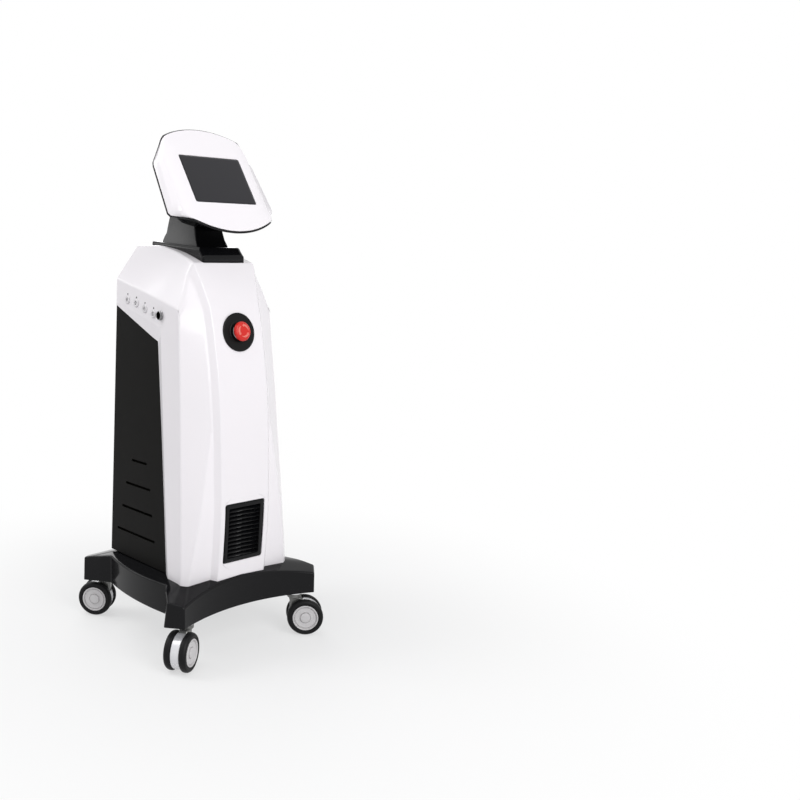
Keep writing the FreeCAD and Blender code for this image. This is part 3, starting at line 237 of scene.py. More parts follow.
class Form:
    """A mesh in the making, with its corners in millimetres."""

    def __init__(self, name: str) -> None:
        """Starts an empty form.

        Args:
            name: name of the object that it becomes.
        """
        self.name = name
        self.mesh = bmesh.new()
        self.ease = self.mesh.edges.layers.float.new("bevel_weight_edge")

    def corner(self, point: Iterable[float]) -> Vert:
        """Adds one corner."""
        return self.mesh.verts.new(Vector(point))

    def row(self, points: Iterable[Iterable[float]]) -> list[Vert]:
        """Adds a row of corners."""
        return [self.corner(point) for point in points]

    def face(self, corners: Sequence[Vert], slot: int = 0) -> None:
        """Adds one face unless its corners fall together or it is there already.

        Args:
            corners: its corners in turn.
            slot: which of the piece's finishes it takes.
        """
        unique = list(dict.fromkeys(corners))
        if len(unique) > 2 and self.mesh.faces.get(unique) is None:
            self.mesh.faces.new(unique).material_index = slot

    def strip(self, low: Sequence[Vert], high: Sequence[Vert],
              closed: bool = True, slot: int = 0) -> None:
        """Joins two rows of corners with faces.

        Args:
            low: one row.
            high: the other row, with as many corners.
            closed: whether the last corners join the first.
            slot: which of the piece's finishes the faces take.
        """
        count = len(low)
        for index in range(count if closed else count - 1):
            following = (index + 1) % count
            self.face((low[index], low[following], high[following], high[index]), slot)

    def stack(self, rings: Sequence[Sequence[Iterable[float]]], capped: bool = True,
              looped: bool = False) -> list[list[Vert]]:
        """Joins rings of points into a skin.

        Args:
            rings: equal numbers of points, from one end to the other.
            capped: whether both ends are closed with a face.
            looped: whether the last ring joins the first.

        Returns:
            The rings' corners.
        """
        rows = [self.row(ring) for ring in rings]
        for low, high in zip(rows, rows[1:]):
            self.strip(low, high)
        if looped:
            self.strip(rows[-1], rows[0])
        elif capped:
            self.face(rows[0][::-1])
            self.face(rows[-1])
        return rows

    def weigh(self, first: Vert, second: Vert, weight: float) -> None:
        """Says how far the edge between two corners is rounded.

        Args:
            first: corner at one end of the edge.
            second: corner at its other end.
            weight: share of the rounding's width that it gets.
        """
        edge = self.mesh.edges.get((first, second))
        if edge is not None:
            edge[self.ease] = clamp(weight)

    def lathe(self, outline: Sequence[Spot], steps: int, closed: bool = False) -> None:
        """Turns an outline of (radius, height) about Z.

        Args:
            outline: points from one end to the other.
            steps: number of faces around.
            closed: whether the last point joins the first, as on a ring.
        """
        rows: list[list[Vert]] = []
        for radius, height in outline:
            if radius < TINY:
                rows.append([self.corner((0, 0, height))] * steps)
            else:
                rows.append(self.row((x, y, height) for x, y in circle(radius, steps)))
        for low, high in zip(rows, rows[1:] + rows[:1] if closed else rows[1:]):
            self.strip(low, high)

    def place(self, matrix: Matrix) -> "Form":
        """Moves all that is there so far."""
        self.mesh.transform(matrix)
        return self

    def done(self, outward: bool = True) -> Item:
        """Ends the form.

        Args:
            outward: whether the faces are turned outwards first.

        Returns:
            An object at the origin with the mesh in metres.
        """
        bmesh.ops.remove_doubles(self.mesh, verts=self.mesh.verts, dist=MERGE_DISTANCE)
        if outward:
            bmesh.ops.recalc_face_normals(self.mesh, faces=self.mesh.faces)
        self.mesh.transform(Matrix.Scale(METRE, 4))
        data = bpy.data.meshes.new(self.name)
        self.mesh.to_mesh(data)
        self.mesh.free()
        item = bpy.data.objects.new(self.name, data)
        bpy.context.scene.collection.objects.link(item)
        return smooth(item)


def turned(name: str, corners: Sequence[Point], rounding: int, steps: int,
           closed: bool = True) -> Form:
    """Turns an outline with rounded corners about Z.

    Args:
        name: the form's name.
        corners: (radius, height, rounding) of each corner.
        rounding: number of runs that each rounding gets.
        steps: number of faces around.
        closed: whether the last corner joins the first, as on a ring.

    Returns:
        The form.
    """
    form = Form(name)
    form.lathe(rounded(corners, rounding, closed), steps, closed)
    return form


def smooth(item: Item) -> Item:
    """Makes an object's faces shade smoothly."""
    item.data.polygons.foreach_set("use_smooth", [True] * len(item.data.polygons))
    return item


def settle(item: Item) -> Item:
    """Makes an object's modifiers part of its mesh.

    Args:
        item: the object.

    Returns:
        The object.
    """
    bpy.context.view_layer.update()
    graph = bpy.context.evaluated_depsgraph_get()
    fresh = bpy.data.meshes.new_from_object(item.evaluated_get(graph))
    item.modifiers.clear()
    former, item.data = item.data, fresh
    bpy.data.meshes.remove(former)
    return item


def ease(item: Item, width: float, segments: int = 3, angle: float = 35.0,
         weighed: bool = False) -> Item:
    """Rounds an object's edges.

    Args:
        item: the object.
        width: width of the rounding in millimetres.
        segments: number of faces across a rounding.
        angle: edges sharper than this are rounded, where they aren't weighed.
        weighed: whether the edges' own weights say how far each is rounded.

    Returns:
        The object.
    """
    bevel = item.modifiers.new("ease", "BEVEL")
    bevel.width, bevel.segments = width * METRE, segments
    bevel.limit_method = "WEIGHT" if weighed else "ANGLE"
    bevel.angle_limit = math.radians(angle)
    bevel.use_clamp_overlap = False
    return item


def wall(item: Item, thickness: float) -> Item:
    """Gives an open skin a wall inwards.

    Args:
        item: the object.
        thickness: the wall's thickness in millimetres.

    Returns:
        The object.
    """
    solid = item.modifiers.new("wall", "SOLIDIFY")
    solid.thickness, solid.offset = thickness * METRE, -1.0
    solid.use_even_offset = False
    solid.use_quality_normals = True
    return item


def even(item: Item) -> Item:
    """Lets large faces keep their own shading beside small roundings.

    Args:
        item: the object.

    Returns:
        The object.
    """
    shade = item.modifiers.new("even", "WEIGHTED_NORMAL")
    shade.weight, shade.keep_sharp = 80, True
    return item


def discard(item: Item) -> None:
    """Removes an object and its mesh.

    Args:
        item: the object.
    """
    data = item.data
    bpy.data.objects.remove(item)
    bpy.data.meshes.remove(data)


def pierce(item: Item, cutter: Item) -> Item:
    """Takes a cutter's form out of an object.

    Args:
        item: the object.
        cutter: what is taken out, which is removed after.

    Returns:
        The object.
    """
    hole = item.modifiers.new("hole", "BOOLEAN")
    hole.operation, hole.solver, hole.object = "DIFFERENCE", "EXACT", cutter
    settle(item)
    discard(cutter)
    return item


def merged(name: str, items: Sequence[Item]) -> Item:
    """Joins finished objects into one, with their finishes kept.

    Args:
        name: name of the whole.
        items: the objects, of which the first stays.

    Returns:
        The whole.
    """
    with bpy.context.temp_override(active_object=items[0], selected_editable_objects=list(items)):
        bpy.ops.object.join()
    items[0].name = items[0].data.name = name
    return items[0]


# ---- finishes

class Grain(Enum):
    """What the surface of a finish does when seen close."""

    SMOOTH = "smooth"
    PEBBLED = "pebbled"
    BRUSHED = "brushed"


@dataclass(frozen=True)
class Wiring:
    """A node tree in the making."""

    tree: bpy.types.NodeTree

    def fill(self, node: bpy.types.Node, inputs: dict[str | int, Any]) -> None:
        """Sets inputs of a node.

        Args:
            node: the node.
            inputs: for each input, its value or the socket that it is joined to.
        """
        for name, value in inputs.items():
            if isinstance(value, bpy.types.NodeSocket):
                self.tree.links.new(value, node.inputs[name])
            else:
                node.inputs[name].default_value = value

    def add(self, kind: str, inputs: dict[str | int, Any], **settings: str) -> bpy.types.Node:
        """Adds a node.

        Args:
            kind: the node's type.
            inputs: for each input, its value or the socket that it is joined to.
            **settings: the node's own settings.

        Returns:
            The node.
        """
        node = self.tree.nodes.new(kind)
        for name, value in settings.items():
            setattr(node, name, value)
        self.fill(node, inputs)
        return node


@dataclass(frozen=True)
class Finish:
    """A material with a mottled colour, an uneven gloss and a fine relief."""

    name: str
    colour: Point
    roughness: float = 0.4
    metal: float = 0.0
    coat: float = 0.0
    coat_roughness: float = 0.06
    shine: float = 0.5
    grain: Grain = Grain.SMOOTH
    mottle: float = 0.05
    mottle_scale: float = 22.0
    gloss_shift: float = 0.05
    gloss_scale: float = 3.1
    relief: float = 0.04
    relief_scale: float = 420.0
    relief_depth: float = 0.0006
    brush_stretch: float = 14.0

    def build(self) -> bpy.types.Material:
        """Builds the material.

        Returns:
            The material, or the one that is there already.
        """
        ready = bpy.data.materials.get(self.name)
        if ready is not None:
            return ready
        material = bpy.data.materials.new(self.name)
        material.use_nodes = True
        wiring = Wiring(material.node_tree)
        place = wiring.add("ShaderNodeTexCoord", {}).outputs["Object"]
        mottle = self.noise(wiring, place, self.mottle_scale, 4.0)
        uneven = self.noise(wiring, place, self.mottle_scale * self.gloss_scale, 3.0)
        colour = wiring.add("ShaderNodeMix", {0: mottle, 6: self.shade(1 - self.mottle),
                                              7: self.shade(1 + self.mottle)}, data_type="RGBA")
        gloss = wiring.add("ShaderNodeMapRange", {
            "Value": uneven, "To Min": max(0.02, self.roughness - self.gloss_shift),
            "To Max": min(1.0, self.roughness + self.gloss_shift)})
        bump = wiring.add("ShaderNodeBump", {
            "Strength": self.relief, "Distance": self.relief_depth,
            "Height": self.texture(wiring, place)})
        wiring.fill(material.node_tree.nodes["Principled BSDF"], {
            "Metallic": self.metal, "Specular IOR Level": self.shine, "Coat Weight": self.coat,
            "Coat Roughness": self.coat_roughness, "Base Color": colour.outputs[2],
            "Roughness": gloss.outputs["Result"], "Normal": bump.outputs["Normal"]})
        return material

    def shade(self, factor: float) -> tuple[float, float, float, float]:
        """The finish's colour made lighter or darker."""
        red, green, blue = (min(1.0, part * factor) for part in self.colour)
        return (red, green, blue, 1.0)

    @staticmethod
    def noise(wiring: Wiring, place: bpy.types.NodeSocket, scale: float,
              detail: float) -> bpy.types.NodeSocket:
        """Adds a noise texture at a place and gives its value."""
        inputs = {"Vector": place, "Scale": scale, "Detail": detail}
        return wiring.add("ShaderNodeTexNoise", inputs).outputs["Fac"]

    def texture(self, wiring: Wiring, place: bpy.types.NodeSocket) -> bpy.types.NodeSocket:
        """Adds the relief that the finish's grain asks for.

        Args:
            wiring: the material's nodes.
            place: the spot on the piece.

        Returns:
            The relief's height.
        """
        if self.grain is Grain.PEBBLED:
            return wiring.add("ShaderNodeTexVoronoi", {"Vector": place, "Scale": self.relief_scale},
                              feature="SMOOTH_F1").outputs["Distance"]
        if self.grain is Grain.BRUSHED:
            run = wiring.add("ShaderNodeMapping", {
                "Vector": place, "Scale": (1.0, 1.0, self.brush_stretch)})
            return self.noise(wiring, run.outputs["Vector"], self.relief_scale, 5.0)
        return self.noise(wiring, place, self.relief_scale, 2.0)


WHITE_SHELL = Finish("white gloss shell", (0.87, 0.84, 0.866), 0.24, shine=0.45, coat=0.2,
                     mottle=0.012, mottle_scale=6.0, relief=0.02, relief_scale=130.0,
                     gloss_shift=0.03)
BLACK_GLOSS = Finish("black gloss moulding", (0.004, 0.004, 0.0048), 0.13, shine=0.17,
                     mottle=0.12, relief=0.03, relief_scale=150.0, gloss_shift=0.03)
BLACK_SATIN = Finish("black satin moulding", (0.0055, 0.0052, 0.0048), 0.42, shine=0.05,
                     mottle=0.12, grain=Grain.PEBBLED, relief=0.22, relief_scale=900.0)
BLACK_DISC = Finish("black stop disc", (0.006, 0.006, 0.006), 0.34, shine=0.12, mottle=0.1,
                    grain=Grain.PEBBLED, relief=0.12, relief_scale=1200.0)
STEEL = Finish("zinc plated sheet", (0.50, 0.51, 0.52), 0.38, metal=1.0, mottle=0.14,
               grain=Grain.BRUSHED, relief=0.12, relief_scale=300.0)
BRIGHT_STEEL = Finish("bright turned steel", (0.66, 0.66, 0.67), 0.24, metal=1.0, mottle=0.06,
                      grain=Grain.BRUSHED, relief=0.08, relief_scale=700.0)
CHROME = Finish("chrome ring", (0.26, 0.26, 0.265), 0.16, metal=1.0, mottle=0.04, relief=0.02,
                gloss_shift=0.03)
HOOD_GREY = Finish("silver caster hood", (0.72, 0.72, 0.74), 0.26, metal=0.4, coat=0.3,
                   mottle=0.05, relief=0.05, relief_scale=600.0)
FORK_GREY = Finish("grey caster fork", (0.16, 0.16, 0.155), 0.32, metal=0.7, mottle=0.1,
                   relief=0.08, relief_scale=500.0)
HUB_GREY = Finish("pale wheel hub", (0.60, 0.585, 0.59), 0.34, coat=0.2, mottle=0.05,
                  relief=0.06, relief_scale=500.0)
TYRE = Finish("caster tyre", (0.005, 0.005, 0.0055), 0.5, shine=0.16, mottle=0.2,
              grain=Grain.PEBBLED, relief=0.2, relief_scale=700.0)
RED = Finish("stop red", (0.62, 0.022, 0.016), 0.3, shine=0.3, mottle=0.05, relief=0.04)
ARROW = Finish("pale stop arrows", (0.82, 0.20, 0.16), 0.4, shine=0.3, mottle=0.04, relief=0.03)
GLASS = Finish("dark display glass", (0.019, 0.0185, 0.022), 0.18, shine=0.22, mottle=0.03,
               mottle_scale=3.0, relief=0.008, relief_scale=40.0, gloss_shift=0.02)
BORDER = Finish("black glass border", (0.003, 0.003, 0.004), 0.16, shine=0.06, mottle=0.03,
                relief=0.008, relief_scale=40.0, gloss_shift=0.02)
LAMP = Finish("smoked port lamp", (0.03, 0.029, 0.031), 0.2, shine=0.3, mottle=0.05)
PORT_GREY = Finish("pale port ring", (0.70, 0.685, 0.70), 0.3, coat=0.3, mottle=0.03, relief=0.03)
RUBBER = Finish("black rubber", (0.012, 0.012, 0.012), 0.75, shine=0.15, mottle=0.15,
                grain=Grain.PEBBLED, relief=0.3, relief_scale=500.0)
HOSE = Finish("clear grey hose", (0.42, 0.43, 0.45), 0.3, coat=0.3, mottle=0.06)
ALUMINIUM = Finish("cast aluminium", (0.56, 0.56, 0.57), 0.42, metal=1.0, mottle=0.1,
                   grain=Grain.PEBBLED, relief=0.2, relief_scale=400.0)
BOARD = Finish("green circuit board", (0.015, 0.11, 0.045), 0.42, coat=0.3, mottle=0.3,
               mottle_scale=160.0, relief=0.25, relief_scale=300.0)

SLOT_FINISH: dict[str, Finish] = {
    "white_shell": WHITE_SHELL, "black_gloss": BLACK_GLOSS, "black_satin": BLACK_SATIN,
    "steel": STEEL, "bright_steel": BRIGHT_STEEL, "chrome": CHROME, "hood_grey": HOOD_GREY,
    "hub_grey": HUB_GREY, "tyre": TYRE, "red": RED, "glass": GLASS, "lamp": LAMP,
    "rubber": RUBBER, "hose": HOSE, "aluminium": ALUMINIUM, "board_green": BOARD,
}


def dress(item: Item, slot: str, *finishes: Finish) -> Item:
    """Gives a piece its finishes.

    Args:
        item: the piece.
        slot: the record's slot that the piece stands for.
        *finishes: the finish of each material slot in turn, or none for the slot's own.

    Returns:
        The piece.
    """
    item.data.materials.clear()
    for finish in finishes or (SLOT_FINISH[slot],):
        item.data.materials.append(finish.build())
    return item


def finished(item: Item, slot: str, *finishes: Finish) -> Item:
    """Evens a piece's shading, settles its modifiers and gives it its finishes."""
    return dress(settle(even(item)), slot, *finishes)


def settle_on(item: Item, body: str, *nodes: str) -> None:
    """Makes a piece ride on a body and reports it.

    Args:
        item: the piece.
        body: the body's name.
        *nodes: the nodes that the piece stands in for.
    """
    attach(item, body)
    if nodes:
        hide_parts(*nodes)
    LOG.info("%s rides on %s, %d faces", item.name, body, len(item.data.polygons))


def moved(item: Item, matrix: Matrix) -> Item:
    """Moves a finished mesh.

    Args:
        item: the object.
        matrix: the move, with its shift in millimetres.

    Returns:
        The object.
    """
    shift = matrix.copy()
    shift.translation = matrix.translation * METRE
    item.data.transform(shift)
    return item


# ---- repeats

class Pattern(Enum):
    """How a piece repeats."""

    ROW = "row"
    RING = "ring"
    SPOTS = "spots"


@dataclass
class Repeat:
    """Copies of one piece in a row, in a ring about Z, or on chosen spots."""

    pattern: Pattern
    count: int = 1
    step: Point = (0.0, 0.0, 0.0)
    spots: Sequence[Point] = ()

    def tree(self) -> bpy.types.GeometryNodeTree:
        """Builds the node tree.

        Returns:
            The tree, with its named inputs.
        """
        tree = bpy.data.node_groups.new(f"repeat in a {self.pattern.value}", "GeometryNodeTree")
        for name, kind in (("Geometry", "Geometry"), ("Piece", "Object"), ("Count", "Int"),
                           ("Step", "Vector"), ("Turn", "Vector"), ("Finish", "Material")):
            tree.interface.new_socket(name, in_out="INPUT", socket_type=f"NodeSocket{kind}")
        tree.interface.new_socket("Geometry", in_out="OUTPUT", socket_type="NodeSocketGeometry")
        wiring = Wiring(tree)
        given = wiring.add("NodeGroupInput", {}).outputs
        if self.pattern is Pattern.SPOTS:
            start = wiring.add("GeometryNodeMeshToPoints", {"Mesh": given["Geometry"]})
        else:
            start = wiring.add("GeometryNodeMeshLine", {"Count": given["Count"],
                                                        "Offset": given["Step"]})
        piece = wiring.add("GeometryNodeObjectInfo", {"Object": given["Piece"]})
        index = wiring.add("GeometryNodeInputIndex", {})
        turn = wiring.add("ShaderNodeVectorMath", {0: given["Turn"], "Scale": index.outputs[0]},
                          operation="SCALE")
        copies = wiring.add("GeometryNodeInstanceOnPoints", {
            "Points": start.outputs[0], "Instance": piece.outputs["Geometry"],
            "Rotation": turn.outputs["Vector"]})
        real = wiring.add("GeometryNodeRealizeInstances", {"Geometry": copies.outputs[0]})
        finish = wiring.add("GeometryNodeSetMaterial", {"Geometry": real.outputs[0],
                                                        "Material": given["Finish"]})
        wiring.add("NodeGroupOutput", {"Geometry": finish.outputs[0]})
        return tree

    def of(self, name: str, piece: Item, finish: Finish) -> Item:
        """Repeats a piece.

        Args:
            name: the new object's name.
            piece: the piece to repeat, which is removed after.
            finish: the copies' finish.

        Returns:
            One object with all the copies in a plain mesh.
        """
        guide = Form(name)
        guide.row(self.spots or ((0, 0, 0),))
        item = guide.done(False)
        tree = self.tree()
        copies = item.modifiers.new("copies", "NODES")
        copies.node_group = tree
        turn = math.tau / self.count if self.pattern is Pattern.RING else 0.0
        inputs = {"Piece": piece, "Count": self.count, "Step": [part * METRE for part in self.step],
                  "Turn": [0.0, 0.0, turn], "Finish": finish.build()}
        for socket in tree.interface.items_tree:
            if socket.in_out == "INPUT" and socket.name in inputs:
                copies[socket.identifier] = inputs[socket.name]
        settle(item)
        discard(piece)
        return smooth(item)


# ---- shared forms

@dataclass(frozen=True)
class BaseForm:
    """The plan and the sloping top of the rolling base."""

    bottom: float = 89.0
    corner: Spot = (163.0, 187.0)
    outer: Spot = (189.5, 157.0)
    bow: float = 153.0
    apron_end: Spot = (150.0, 107.0)
    apron_bulge: float = 160.0
    leg_way: Spot = (0.168, 0.986)
    leg_top: float = 131.0
    leg_slope: float = 0.309
    side_top: float = 151.0
    side_slope: float = 0.19
    front_edge: float = 149.0
    front_slope: float = 0.684
    cap: float = 157.0
    side_from: float = 132.4
    blend: float = 1.6

    def top(self, x: float, y: float) -> float:
        """Height of the base's surface, with its planes blended at their meetings.

        Args:
            x: how far right the spot is.
            y: how far back it is.

        Returns:
            The height over the spot.
        """
        x, y = abs(x), abs(y)
        out = self.leg_way[0] * (x - self.corner[0]) + self.leg_way[1] * (y - self.corner[1])
        heights = (self.cap, self.leg_top - self.leg_slope * out,
                   self.side_top - self.side_slope * (x - self.side_from),
                   self.cap - self.front_slope * (y - self.front_edge))
        low = min(heights)
        total = sum(math.exp((low - height) / self.blend) for height in heights)
        return low - self.blend * math.log(total)


@dataclass(frozen=True)
class TowerForm:
    """The tower's outer form as lines over its height."""

    foot: float = 150.0
    shoulder: float = 672.0
    foot_half: float = 132.4
    shoulder_half: float = 111.0
    band: float = 58.0
    chamfer: float = 10.5
    least_strip: float = 6.0
    back: float = 136.5
    eave_middle: float = 696.7
    eave_rise: float = 0.24
    reach_line: Curve = Curve(((150, 149), (184, 153), (301, 161), (350, 160.3), (450, 158),
                               (550, 149.5), (610, 139.5), (672, 126), (720, 108), (763, 88.8),
                               (815, 63)))
    stop_line: tuple[Spot, ...] = ((610, 139.5), (672, 126))
    corner_line: Curve = Curve(((150, 130), (301, 122), (450, 112), (550, 105), (610, 100),
                                (672, 95), (720, 84), (815, 50)))
    blade_line: tuple[Spot, ...] = ((150, 121.0), (301, 97.0), (450, 72.5), (610, 69.5),
                                    (900, 69.5))
    crown_line: Curve = Curve(((-89, 763), (-60, 773.5), (-26, 784), (20, 793.5), (60, 799),
                               (136.5, 801.5)))
    ridge_line: tuple[Spot, ...] = ((-89, 73.0), (136.5, 56.0))
    flare_line: tuple[Spot, ...] = ((150, 58.0), (672, 58.0), (690, 59.5), (715, 63.0),
                                    (740, 68.5), (763, 73.0), (900, 73.0))

    def lean(self) -> float:
        """How far the flank comes in for each millimetre that it rises."""
        return (self.foot_half - self.shoulder_half) / (self.shoulder - self.foot)

    def flank(self, z: float) -> float:
        """Half width of the tower at a height."""
        return between(self.foot_half, self.shoulder_half,
                       (z - self.foot) / (self.shoulder - self.foot))

    def reach(self, z: float) -> float:
        """Y of the central band at a height."""
        return -self.reach_line.at(z)

    def band_half(self, z: float) -> float:
        """Half width of the central band, which flares below the crown."""
        return straight(self.flare_line, z)

    def ridge(self, y: float) -> float:
        """Half width of the crown between its shoulders."""
        return straight(self.ridge_line, y)

    def front_corner(self, z: float) -> Spot:
        """Where the front meets the flank at a height."""
        return (self.flank(z), -self.corner_line.at(z))

    def blade(self, z: float) -> Spot:
        """Outer edge of the front blade, kept a strip away from the band above its tip.

        Args:
            z: the height.

        Returns:
            The edge's spot at that height.
        """
        edge, y = straight(self.blade_line, z), self.reach(z) + self.chamfer
        corner = self.front_corner(z)
        least = self.band_half(z) + self.chamfer + self.least_strip
        if edge >= least:
            return (edge, y)
        return (least, between(y, corner[1], (least - edge) / (corner[0] - edge)))

    def eave_line(self, y: float) -> float:
        """Height of the shoulder where it is as wide as the tower's own shoulder."""
        return self.eave_middle + self.eave_rise * y

    def roof(self, x: float, y: float) -> float:
        """Height of the crown and its shoulders over a spot."""
        out = max(0.0, abs(x) - self.ridge(y)) / (self.shoulder_half - self.ridge(y))
        return between(self.crown_line.at(y), self.eave_line(y), out)

    def eave(self, y: float) -> float:
        """Finds where the flank meets the shoulder.

        Args:
            y: how far back.

        Returns:
            The height of the meeting.
        """
        z = self.eave_line(y)
        for _ in range(4):
            z = self.roof(self.flank(z), y)
        return z

    def on_flank(self, y: float, z: float, depth: float = 0.0) -> Point:
        """A point on the right flank, moved inwards by a depth."""
        return (self.flank(z) - depth, y, z)

    def band_frame(self, z: float, tilt: float) -> Matrix:
        """Frame on the band at a height, with Z out of the front at a tilt."""
        out = Vector((0, -math.cos(math.radians(tilt)), math.sin(math.radians(tilt))))
        return axes((0, -straight(self.stop_line, z), z), X_AXIS, out.cross(X_AXIS), out)

    def port_frame(self, y: float, z: float) -> Matrix:
        """Frame on the left flank: X up the flank, Z out of it."""
        out = Vector((-1, 0, self.lean())).normalized()
        return axes((-self.flank(z), y, z), Y_AXIS.cross(out), Y_AXIS, out)


BASE = BaseForm()
TOWER = TowerForm()


# ---- tower

@dataclass
class Recess:
    """The recess of a flank and the louvred panel in it, with spots as (y, z)."""

    foot: float = 153.5
    top: Spot = (-34.5, 638.0)
    back_top: float = 685.0
    panel_top: Spot = (-17.0, 609.0)
    panel_back_top: float = 677.0
    depth: float = 8.5
    gap: float = 0.5
    rim: tuple[Spot, ...] = ((153.5, -84.5), (381.0, -60.0), (638.0, -34.5))
    edge: tuple[Spot, ...] = ((153.5, -66.0), (381.0, -43.0), (609.0, -17.0))
    slots: tuple[tuple[float, float, float], ...] = (
        (206.0, -23.0, 114.0), (257.5, -12.0, 98.0), (309.0, -2.0, 86.0), (360.0, 12.0, 66.0))
    slot_height: float = 5.0
    thickness: float = 3.0
    lip: float = 0.7

    def inset(self, y: float) -> float:
        """Depth of the panel's face at a place along the flank."""
        return self.depth * (TOWER.back - y) / (TOWER.back - self.edge[0][1])

    def panel(self, side: str) -> Item:
        """Builds one louvred panel.

        Args:
            side: "left" or "right".

        Returns:
            The panel on its flank.
        """
        gap, inner = self.gap, self.lip + self.thickness
        (low, foot_y), (knee, knee_y) = self.edge[:2]
        outline = rounded(((foot_y + gap, low, 0.4), (knee_y + gap, knee, 60),
                           (self.panel_top[0] + gap, self.panel_top[1] - gap, 2.5),
                           (TOWER.back, self.panel_back_top - gap, 0.4),
                           (TOWER.back, low, 0.4)), 6)
        form = Form(f"{side}_side_panel")
        self.sheet(form, outline, ((self.lip, 0.0), (inner, 0.0)))
        item = settle(ease(form.done(), 0.7, 2, 50))
        holes, lips = Form("slots"), Form("lips")
        half = self.slot_height / 2
        for height, front, back in self.slots:
            slot = oblong(front, height - half, back, height + half, half * 0.98)
            self.sheet(holes, slot, ((self.lip - 1.0, 1.2), (self.lip + 0.5, 0.0),
                                     (inner + 2.0, 0.0)))
            self.louvre(lips, height, front - 1.0, back + 9.0)
        item = merged(f"{side}_side_panel", [pierce(item, holes.done()), lips.done()])
        item.data.shade_flat()
        if side == "left":
            item.data.transform(Matrix.Scale(-1, 4, X_AXIS))
            item.data.flip_normals()
        return item

    def louvre(self, form: Form, height: float, front: float, back: float) -> None:
        """Adds the lip that hangs down behind a slot and keeps the inside out of sight.

        Args:
            form: the lips in the making.
            height: height of the slot's middle.
            front: Y of the lip's front end.
            back: Y of its back end.
        """
        top, inner = self.slot_height / 2, self.lip + self.thickness
        section = ((inner - 0.2, top + 1.6), (inner + 5.0, -top - 2.0), (inner + 5.0, -top - 9.0),
                   (inner + 4.0, -top - 9.0), (inner + 4.0, -top - 2.4), (inner - 0.2, top + 0.2))
        form.stack([[TOWER.on_flank(y, height + rise, self.inset(y) + deep)
                     for deep, rise in section] for y in (front, back)])

    def sheet(self, form: Form, outline: Sequence[Spot], layers: Sequence[Spot]) -> None:
        """Adds a sheet that lies along the recess.

        Args:
            form: the sheet in the making.
            outline: (y, z) of each of its corners.
            layers: the depth of each layer and by how much it is larger than the outline.
        """
        middle = sum((Vector(spot) for spot in outline), Vector((0, 0))) / len(outline)
        rings = []
        for deep, spare in layers:
            rings.append([TOWER.on_flank(y + math.copysign(spare, y - middle.x),
                                         z + math.copysign(spare, z - middle.y),
                                         self.inset(y) + deep) for y, z in outline])
        form.stack(rings)


